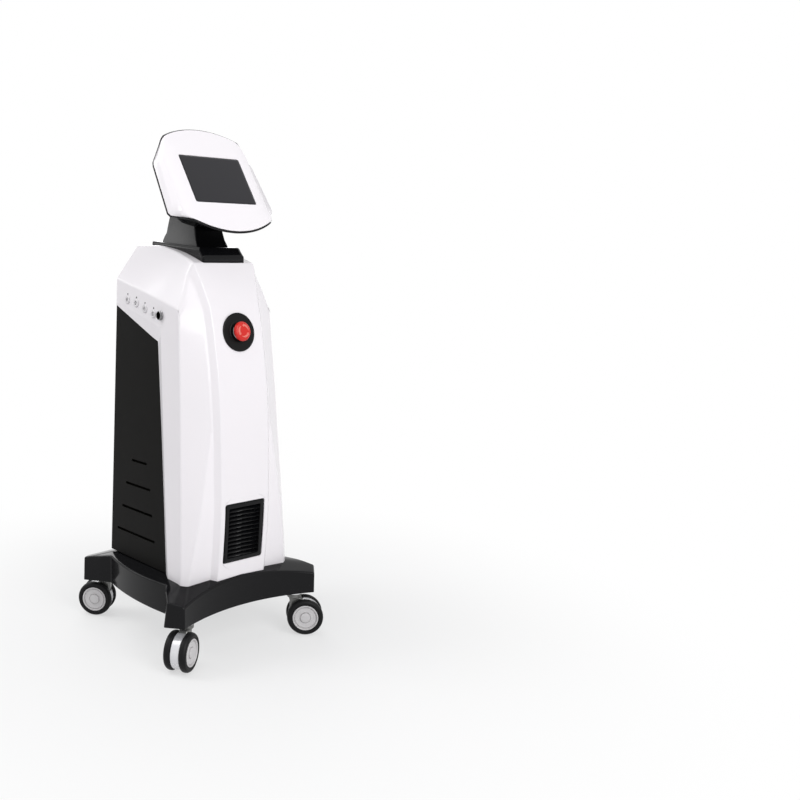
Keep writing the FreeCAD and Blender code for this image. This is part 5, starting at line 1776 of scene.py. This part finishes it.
@dataclass
class Caster:
    """A twin-wheel caster: hood, hubs and tyres about a swivel axis."""

    name: str
    place: Spot
    bearing: float
    radius: float = 37.5
    tread: float = 13.5
    hub: float = 26.5
    hub_gap: float = 0.02
    hood: float = 34.0
    hood_width: float = 18.4
    gap: float = 0.3
    trail: float = 22.0

    def frame(self) -> Matrix:
        """Frame on the floor under the swivel, with X towards the axle."""
        return (Matrix.Translation((*self.place, 0.0))
                @ Matrix.Rotation(math.radians(self.bearing), 4, "Z"))

    def wheel_frame(self, side: int) -> Matrix:
        """Frame of a wheel's inner face, with Z out of it."""
        start = (self.trail, side * (self.hood_width / 2 + self.gap), self.radius)
        return (self.frame() @ Matrix.Translation(start)
                @ Matrix.Rotation(math.radians(-90 * side), 4, "X"))

    def tyre(self, letter: str, side: int) -> Item:
        """Builds one tyre with a crowned tread, a groove at each shoulder and a bead.

        Args:
            letter: the wheel's letter.
            side: 1 or -1, the way that the wheel faces along the axle.

        Returns:
            The tyre in its place.
        """
        wide, out, inner = self.tread, self.radius, self.hub + self.hub_gap
        form = turned(f"caster_{self.name}_tyre_{letter}_rubber", (
            (inner, 0.0, 0), (out - 2.6, 0.0, 0.8), (out - 0.35, 1.9, 1.6), (out, wide * 0.42, 6),
            (out - 0.5, wide - 4.2, 3.0), (out - 2.6, wide - 1.1, 2.4),
            (out - 5.4, wide + 0.1, 1.6), (inner + 2.2, wide - 0.4, 0.6),
            (inner + 1.5, wide - 1.0, 0.4), (inner, wide - 1.0, 0)), 4, 96)
        return finished(form.place(self.wheel_frame(side)).done(), "tyre")

    def wheel_hub(self, letter: str, side: int) -> Item:
        """Builds one hub disc with its rim, a shallow dish, a raised ring and a cap.

        Args:
            letter: the wheel's letter.
            side: 1 or -1, the way that the wheel faces along the axle.

        Returns:
            The hub in its place.
        """
        wide, out, dish = self.tread, self.hub, self.tread - 2.4
        low = dish - 1.6
        form = turned(f"caster_{self.name}_hub_{letter}_disc", (
            (4.05, 0, 0), (out, 0, 0), (out, wide - 0.8, 0), (out - 0.6, wide - 0.1, 0.5),
            (out - 2.4, wide, 0.5), (out - 3.4, dish, 0.3), (out - 3.6, low, 0.2),
            (21.6, low, 0.2), (21.3, dish + 0.4, 0.4), (16.0, dish - 0.5, 1.0),
            (11.6, dish - 0.5, 0.5), (11.4, dish - 2.0, 0.2), (10.2, dish - 2.0, 0.2),
            (9.9, dish + 1.5, 0.5), (5.0, dish + 2.0, 2.0), (0, dish + 2.05, 0), (0, low, 0),
            (4.05, low, 0)), 3, 96, closed=False)
        return finished(form.place(self.wheel_frame(side)).done(), "hub_grey")

    def cover(self) -> Item:
        """Builds the hood between the wheels: a rimmed disc, its neck and the swivel cap.

        Returns:
            The hood in one piece.
        """
        half, hood = self.hood_width / 2, self.hood
        disc = turned("disc", (
            (4.1, -half, 0), (hood - 1.2, -half, 0.5), (hood, -half + 1.2, 0.6),
            (hood, half - 1.2, 0.6), (hood - 1.2, half, 0.5), (4.1, half, 0)), 3, 96)
        disc.place(Matrix.Translation((self.trail, 0, self.radius)) @ Z_TO_BACK)
        neck = Form("neck")
        neck.stack([[(a, b, z) for a, b in oblong(front, -wide, back, wide, 4.0, 4)]
                    for z, front, back, wide in (
                        (40.0, -9.0, 30.0, half - 0.3), (60.0, -9.0, 26.0, half - 0.3),
                        (69.0, -9.5, 21.0, half - 0.2), (74.0, -11.0, 15.0, half),
                        (77.2, -12.0, 13.0, half))])
        cap = turned("cap", (
            (6.1, 76.5, 0), (14.2, 76.5, 0.5), (15.0, 77.6, 0.6), (15.0, 82.8, 0.8),
            (13.8, 84.0, 0.5), (6.1, 84.0, 0)), 3, 64)
        items = [finished(form.place(self.frame()).done(), "hood_grey", finish)
                 for form, finish in ((disc, HOOD_GREY), (neck, FORK_GREY), (cap, FORK_GREY))]
        return merged(f"caster_{self.name}_hood", items)

    def build(self) -> None:
        """Builds the caster and seats each piece on its body."""
        stem = f"caster_{self.name}"
        settle_on(self.cover(), f"{stem}_swivel", f"{stem}_housing")
        for letter, side in (("a", -1), ("b", 1)):
            body = f"{stem}_wheel_{letter}"
            settle_on(self.tyre(letter, side), body, f"{stem}_tyre_{letter}")
            settle_on(self.wheel_hub(letter, side), body, f"{stem}_hub_{letter}")


# ---- neck and head

@dataclass
class Neck:
    """The gloss black collar on the crown and the flared neck above it."""

    half: float = 50.5
    column_inset: float = 16.0
    front: float = -89.0
    back: float = 92.0
    runs: int = 9
    sunk: float = 0.4
    ridge_y: float = -75.0
    ridge: float = 792.5
    face_top: float = 777.0
    back_top: float = 808.5
    lean: float = 0.091
    lean_below: float = 815.0
    cut: float = -74.6
    waist: tuple[tuple[float, float, float, float], ...] = (
        (786.0, 40.0, -58.0, 77.0), (797.0, 39.2, -55.0, 76.0), (803.0, 37.8, -51.5, 74.5),
        (812.0, 35.8, -46.5, 71.0), (824.0, 34.0, -41.5, 67.0), (840.0, 32.8, -37.5, 63.0),
        (860.0, 32.2, -36.5, 56.0), (885.0, 31.8, -36.0, 47.0), (925.0, 31.0, -36.0, 31.0))

    def top(self, y: float) -> float:
        """Height of the collar's sloping top."""
        return between(self.ridge, self.back_top, (y - self.ridge_y) / (self.back - self.ridge_y))

    def collar(self) -> Item:
        """Builds the collar, whose underside follows the crown.

        Returns:
            The collar.
        """
        form = Form("neck_collar_moulding")
        ys = [between(self.ridge_y, self.back, step / self.runs) for step in range(self.runs + 1)]
        upper = [(self.front, self.face_top)] + [(y, self.top(y)) for y in ys]
        lower = [(y, TOWER.crown_line.at(y) - self.sunk) for y in [self.front] + ys]
        columns = [[form.row((x, y, z) for y, z in line) for line in (lower, upper)]
                   for x in (-self.half, -self.half + self.column_inset, 0.0,
                             self.half - self.column_inset, self.half)]
        for (low, high), (low_next, high_next) in zip(columns, columns[1:]):
            form.strip(high, high_next, closed=False)
            form.strip(low, low_next, closed=False)
            for end in (0, -1):
                form.face((low[end], low_next[end], high_next[end], high[end]))
            for index, weight in ((0, 0.22), (1, 0.2), (-1, 0.25)):
                form.weigh(high[index], high_next[index], weight)
        for low, high in (columns[0], columns[-1]):
            form.strip(low, high, closed=False)
            for index in range(self.runs + 1):
                form.weigh(high[index], high[index + 1], between(1.0, 0.34, index / self.runs))
            form.weigh(low[0], high[0], 0.4)
            form.weigh(low[-1], high[-1], 0.4)
        return finished(ease(form.done(), 9.0, 4, weighed=True), "black_gloss")

    def cover(self) -> Item:
        """Builds the flared neck, cut off by the head's back.

        Returns:
            The neck.
        """
        rings = []
        for z, half, front, back in self.waist:
            lean = self.lean if z < self.lean_below else 0.0
            corners = ((-half, front, 4.5), (half, front, 4.5), (half, back, 8.0),
                       (-half, back, 8.0))
            rings.append([(x, y, z + lean * y) for x, y in rounded(corners, 6)])
        form = Form("neck_cover_moulding")
        form.stack(rings)
        bmesh.ops.recalc_face_normals(form.mesh, faces=form.mesh.faces)
        frame = Head().frame()
        self.slice(form.mesh, frame @ Vector((0, 0, self.cut)), frame.to_3x3() @ Vector((0, 0, 1)))
        return finished(ease(form.done(), 0.8, 2, 50), "black_gloss")

    @staticmethod
    def slice(mesh: bmesh.types.BMesh, point: Vector, normal: Vector) -> None:
        """Cuts away all that is above a plane and closes the cut.

        Args:
            mesh: the mesh.
            point: a point on the plane.
            normal: the way that is cut away.
        """
        whole = list(mesh.verts) + list(mesh.edges) + list(mesh.faces)
        bmesh.ops.bisect_plane(mesh, geom=whole, dist=1e-4, plane_co=point, plane_no=normal,
                               clear_outer=True)
        bmesh.ops.holes_fill(mesh, edges=[edge for edge in mesh.edges if edge.is_boundary])
        bmesh.ops.recalc_face_normals(mesh, faces=mesh.faces)


@dataclass
class Head:
    """The tilted display head: white front, black back with its rim, and the glass."""

    place: Point = (0.0, -69.0, 921.5)
    lean: float = 33.4
    depth: float = -75.0
    wall: float = 2.4
    window: Spot = (72.5, 55.0)
    window_gap: float = 0.3
    directions: int = 120
    face_round: float = 7.0
    lip: Spot = (3.1, 1.2)
    corner_round: float = 7.0
    cheek_from: float = 90.0
    edge: tuple[Point, ...] = (
        (92.0, 96.0, -1.6), (0.0, 120.0, -1.6), (-92.0, 96.0, -1.6), (-117.5, 50.0, -25.0),
        (-124.4, -68.3, -27.5), (-92.0, -92.5, -1.6), (0.0, -119.0, -1.6), (92.0, -92.5, -1.6),
        (124.4, -68.3, -27.5), (117.5, 50.0, -25.0))
    face_edge: tuple[Spot, ...] = (
        (92.0, 96.0), (0.0, 120.0), (-92.0, 96.0), (-103.0, 66.0), (-104.0, -82.0),
        (-92.0, -92.5), (0.0, -119.0), (92.0, -92.5), (104.0, -82.0), (103.0, 66.0))
    back_edge: tuple[Spot, ...] = (
        (60.0, 66.0), (0.0, 76.0), (-60.0, 66.0), (-79.0, 40.0), (-79.0, -24.0),
        (-60.0, -48.0), (0.0, -60.0), (60.0, -48.0), (79.0, -24.0), (79.0, 40.0))

    def frame(self) -> Matrix:
        """Frame of the face: X across, Y up it, Z out of the glass."""
        return (Matrix.Translation(self.place)
                @ Matrix.Rotation(math.radians(90 - self.lean), 4, "X"))

    def angles(self) -> list[float]:
        """Directions about the face's middle, closer together at the window's corners.

        Returns:
            The directions in order, once round.
        """
        step = math.tau / self.directions
        corner = math.atan2(self.window[1], self.window[0])
        close = [(sign * corner + turn + shift * 0.011) % math.tau
                 for sign in (-1, 1) for turn in (0, math.pi) for shift in (-2, -1, 0, 1, 2)]
        even_steps = [index * step for index in range(self.directions)]
        return sorted(close + [angle for angle in even_steps
                               if min(abs(angle - other) for other in close) > 0.3 * step])

    def outline(self, knots: Sequence[Spot], easing: float) -> list[Spot]:
        """A closed outline with arched top and bottom and eased corners.

        Args:
            knots: top corner, top, top corner, two side ends, and the same below.
            easing: radius at the corners.

        Returns:
            Points all the way round.
        """
        crown, keel = arc(*knots[0:3], 24), arc(*knots[5:8], 24)
        corners = [(*knots[0], easing * 4)] + [(x, y, 0.0) for x, y in crown[3:-3]]
        corners += [(*knots[2], easing * 4)] + [(*spot, easing) for spot in knots[3:6]]
        corners += [(x, y, 0.0) for x, y in keel[1:-1]]
        corners += [(*spot, easing) for spot in knots[7:10]]
        return rounded(corners, 5)

    def sampled(self, outline: Sequence[Spot]) -> list[Spot]:
        """Finds where an outline is crossed in each of the head's directions.

        Args:
            outline: the outline's spots.

        Returns:
            One spot for each direction.
        """
        spots = []
        for angle in self.angles():
            way = Vector((math.cos(angle), math.sin(angle)))
            best = 0.0
            for first, last in zip(outline, list(outline[1:]) + [outline[0]]):
                a, b = Vector(first), Vector(last) - Vector(first)
                across = way.x * b.y - way.y * b.x
                if abs(across) < TINY:
                    continue
                along = (a.x * b.y - a.y * b.x) / across
                share = (a.x * way.y - a.y * way.x) / across
                if along > 0 and -TINY <= share <= 1 + TINY:
                    best = max(best, along)
            spots.append((way.x * best, way.y * best))
        return spots

    def box_ring(self, spare: float, radius: float) -> list[Spot]:
        """The window's outline, larger by a spare, in each of the head's directions."""
        wide, tall = (half + spare for half in self.window)
        return self.sampled(oblong(-wide, -tall, wide, tall, radius, 6))

    def seam_side(self, y: float) -> Point:
        """The seam's outermost point at a height on the face."""
        upper, lower = self.edge[9], self.edge[8]
        return midway(upper, lower, clamp((upper[1] - y) / (upper[1] - lower[1])))

    def cheek(self, x: float, y: float) -> float:
        """How far a spot of the seam is round the cheek, from 0 to 1."""
        return clamp((abs(x) - self.cheek_from) / (self.seam_side(y)[0] - self.cheek_from))

    def seam_depth(self, x: float, y: float) -> float:
        """Depth of the seam between white and black: shallow above and below, deep aside."""
        return between(self.edge[0][2], self.seam_side(y)[2], self.cheek(x, y))

    def crowned(self, x: float) -> float:
        """How far the face falls back towards its sides."""
        out = max(0.0, abs(x) - self.window[0] - 3.0) / 28.0
        return -6.0 * out * out

    def seam_ring(self, lip: float, drop: float, spare: float = 0.0) -> list[Point]:
        """A ring of points along the seam's line.

        Args:
            lip: share of the back's lip by which the ring is larger.
            drop: how far it is set back.
            spare: how much larger it is besides.

        Returns:
            One point for each of the head's directions.
        """
        ring = self.sampled(self.outline([knot[:2] for knot in self.edge], self.corner_round))
        grown = []
        for x, y in ring:
            size = math.hypot(x, y)
            scale = (size + spare + lip * between(*self.lip, min(1.0, 3 * self.cheek(x, y)))) / size
            grown.append((x * scale, y * scale, self.seam_depth(x, y) - drop))
        return grown

    def front(self) -> Item:
        """Builds the white front shell, whose cheeks wrap round to the seam.

        Returns:
            The shell in its place.
        """
        face = self.sampled(self.outline(self.face_edge, 10.0))
        mouth, lip = self.box_ring(0.0, 4.0), self.box_ring(1.2, 5.0)
        seam = self.seam_ring(0.0, 0.0)
        rings = [[(*spot, -4.0) for spot in mouth], [(*spot, -0.9) for spot in mouth],
                 [(*midway(*spots, 0.3), -0.25) for spots in zip(mouth, lip)],
                 [(*spot, 0.0) for spot in lip]]
        for share in (0.25, 0.5):
            ring = [midway(*spots, share) for spots in zip(lip, face)]
            rings.append([(x, y, self.crowned(x)) for x, y in ring])
        rings += self.shoulder(lip, face, seam)
        rings += [seam, [(x * 0.955, y * 0.955, z) for x, y, z in seam],
                  [(x * 0.93, y * 0.93, max(z, -8.0) - 1.5) for x, y, z in seam],
                  [(x * 0.86, y * 0.86, -6.0 + self.crowned(x * 0.9)) for x, y in face]]
        form = Form("head_front_moulding")
        form.stack(rings, looped=True)
        return finished(form.place(self.frame()).done(), "white_shell")

    def shoulder(self, lip: list[Spot], face: list[Spot], seam: list[Point]) -> list[list[Point]]:
        """Eases the face over into its cheeks.

        Args:
            lip: ring round the window.
            face: ring at the face's edge.
            seam: ring at the seam.

        Returns:
            Rings from the face to the cheeks.
        """
        rings: list[list[Point]] = [[] for _ in range(7)]
        for (u, v), (x, y), edge in zip(lip, face, seam):
            corner = Vector((x, y, self.crowned(x)))
            inward = Vector((u, v, 0)) - corner
            inward.z = 0.0
            outward = Vector(edge) - corner
            reach = between(2.2, self.face_round * 1.6, min(1.0, outward.length / 30.0))
            start = corner + inward.normalized() * reach
            start.z = self.crowned(start.x)
            end = corner + outward.normalized() * min(reach, outward.length * 0.5)
            for index, ring in enumerate(rings):
                t = index / 6
                ring.append(tuple(start * (1 - t) ** 2 + corner * 2 * t * (1 - t) + end * t * t))
        return rings

    def back(self) -> Item:
        """Builds the black back shell, whose lip shows as a thin line round the white.

        Returns:
            The shell in its place.
        """
        back = self.sampled(self.outline(self.back_edge, 14.0))
        rings = [[(x * 0.95, y * 0.95, z) for x, y, z in self.seam_ring(0.0, 0.4)]]
        for lip, drop, spare in ((0.0, 0.35, -0.4), (1.0, 0.4, -0.7), (1.0, 1.0, 0.0),
                                 (1.0, 2.4, 0.0), (0.8, 3.6, 0.0)):
            rings.append(self.seam_ring(lip, drop, spare))
        start = self.seam_ring(0.0, 5.0)
        for share, pull in ((0.06, 0.14), (0.2, 0.38), (0.4, 0.6), (0.62, 0.78), (0.84, 0.9),
                            (0.98, 0.97)):
            rings.append([(*midway(point[:2], spot, pull), between(point[2], self.depth, share))
                          for point, spot in zip(start, back)])
        for share in (0.95, 0.6, 0.02):
            rings.append([(x * share, y * share, self.depth) for x, y in back])
        form = Form("head_back_moulding")
        rows = form.stack(rings, capped=False)
        form.face(rows[-1])
        return finished(wall(form.place(self.frame()).done(), self.wall), "black_gloss")

    def glass(self) -> Item:
        """Builds the dark glass with its black printed border.

        Returns:
            The glass in its place.
        """
        form = Form("display_window")
        wide, tall = (half - self.window_gap for half in self.window)
        rows = [form.row((*spot, z) for spot in oblong(inset - wide, inset - tall, wide - inset,
                                                       tall - inset, radius))
                for inset, radius, z in ((0, 3.6, -3.4), (0, 3.6, -1.2), (0.5, 3.2, -0.75),
                                         (4.2, 2.0, -0.75))]
        for low, high in zip(rows, rows[1:]):
            form.strip(low, high, slot=1)
        form.face(rows[0][::-1], 1)
        form.face(rows[-1], 0)
        return dress(form.place(self.frame()).done(), "glass", GLASS, BORDER)


# ---- studio

@dataclass(frozen=True)
class Lamp:
    """A soft rectangular lamp, in metres and watts."""

    name: str
    place: Point
    size: Spot
    power: float
    target: Point = (0.0, 0.0, 0.55)

    def hang(self) -> None:
        """Adds the lamp to the scene."""
        data = bpy.data.lights.new(self.name, "AREA")
        data.shape, data.energy = "RECTANGLE", self.power
        data.size, data.size_y = self.size
        item = bpy.data.objects.new(self.name, data)
        aim = (Vector(self.target) - Vector(self.place)).to_track_quat("-Z", "Y")
        item.matrix_world = Matrix.Translation(self.place) @ aim.to_matrix().to_4x4()
        bpy.context.scene.collection.objects.link(item)


@dataclass
class Studio:
    """Floor, light and camera. Lengths here are in metres."""

    eye: Point = (-1.033278, -1.453118, 0.750629)
    yaw: float = 0.621
    pitch: float = 0.149
    lens: float = 39.21
    sensor: float = 36.0
    shift: float = 0.25
    far: float = 60.0
    sky: float = 0.36
    floor_size: float = 14.0
    fade: Spot = (0.15, 1.1)
    lamps: tuple[Lamp, ...] = (
        Lamp("key lamp", (0.1, -2.4, 2.1), (1.4, 1.4), 32.0),
        Lamp("front lamp", (-0.6, -2.9, 1.3), (1.6, 1.0), 18.0),
        Lamp("left lamp", (-2.0, 1.5, 2.7), (1.2, 1.6), 32.0),
        Lamp("strip lamp", (-1.3, 2.1, 1.5), (0.3, 0.9), 2.4, (0.0, 0.0, 0.75)),
        Lamp("top lamp", (-0.8, 0.3, 3.1), (2.2, 2.2), 20.0),
        Lamp("back lamp", (1.2, 2.4, 1.6), (1.6, 1.2), 15.0))

    def camera(self) -> None:
        """Sets up the camera."""
        data = bpy.data.cameras.new("camera")
        data.lens, data.sensor_width, data.shift_x = self.lens, self.sensor, self.shift
        data.clip_end = self.far
        item = bpy.data.objects.new("camera", data)
        ahead = Vector((math.sin(self.yaw) * math.cos(self.pitch),
                        math.cos(self.yaw) * math.cos(self.pitch), -math.sin(self.pitch)))
        item.matrix_world = (Matrix.Translation(self.eye)
                             @ ahead.to_track_quat("-Z", "Y").to_matrix().to_4x4())
        bpy.context.scene.collection.objects.link(item)
        bpy.context.scene.camera = item

    def world(self) -> None:
        """Adds a soft pale surround that shows white to the eye, to metal and to glass."""
        world = bpy.data.worlds.new("surround")
        world.use_nodes = True
        bpy.context.scene.world = world
        wiring, nodes = Wiring(world.node_tree), world.node_tree.nodes
        lit = nodes["Background"]
        wiring.fill(lit, {"Color": (0.96, 0.97, 1.0, 1.0), "Strength": self.sky})
        seen = wiring.add("ShaderNodeBackground", {"Color": (1.0, 1.0, 1.0, 1.0)})
        mix = wiring.add("ShaderNodeMixShader", {
            0: self.clear_rays(wiring), 1: lit.outputs[0], 2: seen.outputs[0]})
        wiring.fill(nodes["World Output"], {"Surface": mix.outputs[0]})

    @staticmethod
    def clear_rays(wiring: Wiring) -> bpy.types.NodeSocket:
        """Tells the rays of the eye, of gloss and of glass from all others.

        Args:
            wiring: the nodes that ask.

        Returns:
            One for those rays and nought for others.
        """
        rays = wiring.add("ShaderNodeLightPath", {}).outputs
        total = rays["Is Camera Ray"]
        for name in ("Is Glossy Ray", "Is Transmission Ray"):
            most = wiring.add("ShaderNodeMath", {0: total, 1: rays[name]}, operation="MAXIMUM")
            total = most.outputs[0]
        return total

    def floor(self) -> None:
        """Adds a pale floor that fades to white away from the object."""
        form = Form("studio_floor")
        form.face(form.row((x, y, 0) for x, y in circle(self.floor_size / METRE / 2, 96)))
        item = form.done()
        material = bpy.data.materials.new("pale floor")
        material.use_nodes = True
        wiring, nodes = Wiring(material.node_tree), material.node_tree.nodes
        shader = nodes["Principled BSDF"]
        wiring.fill(shader, {"Base Color": (0.78, 0.78, 0.78, 1), "Roughness": 0.7,
                             "Specular IOR Level": 0.2})
        glow = wiring.add("ShaderNodeEmission", {})
        place = wiring.add("ShaderNodeTexCoord", {}).outputs["Object"]
        away = wiring.add("ShaderNodeVectorMath", {0: place}, operation="LENGTH")
        fade = wiring.add("ShaderNodeMapRange", {
            "Value": away.outputs["Value"], "From Min": self.fade[0], "From Max": self.fade[1],
            "To Min": 0.55}, interpolation_type="SMOOTHSTEP")
        share = wiring.add("ShaderNodeMath", {0: fade.outputs["Result"],
                                              1: self.clear_rays(wiring)}, operation="MULTIPLY")
        mix = wiring.add("ShaderNodeMixShader", {
            0: share.outputs[0], 1: shader.outputs[0], 2: glow.outputs[0]})
        wiring.fill(nodes["Material Output"], {"Surface": mix.outputs[0]})
        item.data.materials.append(material)

    def build(self) -> None:
        """Sets up the whole studio."""
        bpy.context.scene.view_settings.view_transform = "Standard"
        self.camera()
        self.world()
        self.floor()
        for lamp in self.lamps:
            lamp.hang()


# ---- assembly

@dataclass
class Cabinet:
    """All of the pump's visible pieces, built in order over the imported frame."""

    frame: dict[str, Any]
    casters: tuple[tuple[str, Spot, float], ...] = (
        ("front_left", (-137.0, -155.0), 211.2), ("front_right", (137.0, -155.0), -37.5),
        ("rear_left", (-132.0, 159.0), 131.3), ("rear_right", (132.0, 159.0), 48.7))

    def dress_nodes(self) -> None:
        """Gives every carried-over solid the finish of its slot."""
        slots = {part["node"]: part["material_slot"] for part in self.frame["record"]["subparts"]}
        for name, item in self.frame["nodes"].items():
            item.data.materials.clear()
            item.data.materials.append(SLOT_FINISH[slots[name]].build())

    def tower(self) -> None:
        """Builds shell, panels, grille and the back."""
        shell, recess, rear = FrontShell(), Recess(), RearPlate()
        settle_on(dress(shell.build(), "white_shell"), "cabinet", "front_cover")
        for side in ("left", "right"):
            panel = dress(recess.panel(side), "black_satin")
            settle_on(panel, "cabinet", f"{side}_side_panel")
            panel.name = f"{side}_louvred_panel"
        settle_on(Grille().build(), "cabinet", "vent_grille")
        settle_on(rear.plate(), "cabinet", "rear_cover")
        settle_on(rear.screw_heads(), "cabinet", "rear_screws")
        settle_on(FanRotor().build(), "fan_rotor", "fan_rotor")

    def controls(self) -> None:
        """Builds emergency stop, air ports and control socket."""
        stop, ports = EmergencyStop(), AirPorts()
        settle_on(stop.disc(), "cabinet", "estop_plate")
        settle_on(stop.collar(), "cabinet", "estop_collar")
        settle_on(stop.head(), "estop_head", "estop_mushroom")
        settle_on(stop.arrow_ring(), "estop_head")
        settle_on(ports.bodies(), "cabinet", "air_port_bodies")
        settle_on(ports.lamps(), "cabinet", "air_port_lamps")
        shell, lining = ControlSocket().build()
        settle_on(shell, "cabinet", "remote_socket")
        settle_on(lining, "cabinet")

    def base(self) -> None:
        """Builds base cover and casters."""
        settle_on(BaseCover().build(), "cabinet", "base_cover")
        for name, place, bearing in self.casters:
            Caster(name, place, bearing).build()

    def top(self) -> None:
        """Builds neck and head."""
        neck, head = Neck(), Head()
        settle_on(neck.collar(), "cabinet", "neck_collar")
        settle_on(neck.cover(), "cabinet", "neck_cover")
        settle_on(head.front(), "cabinet", "head_front_shell")
        settle_on(head.back(), "cabinet", "head_back_shell")
        settle_on(head.glass(), "cabinet", "display_glass")

    def build(self) -> None:
        """Builds everything."""
        self.dress_nodes()
        self.tower()
        self.controls()
        self.base()
        self.top()


def main() -> None:
    """Builds the studio and the cabinet."""
    logging.basicConfig(level=logging.INFO, format="%(message)s")
    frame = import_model()
    Studio().build()
    Cabinet(frame).build()


if __name__ == "__main__":
    main()
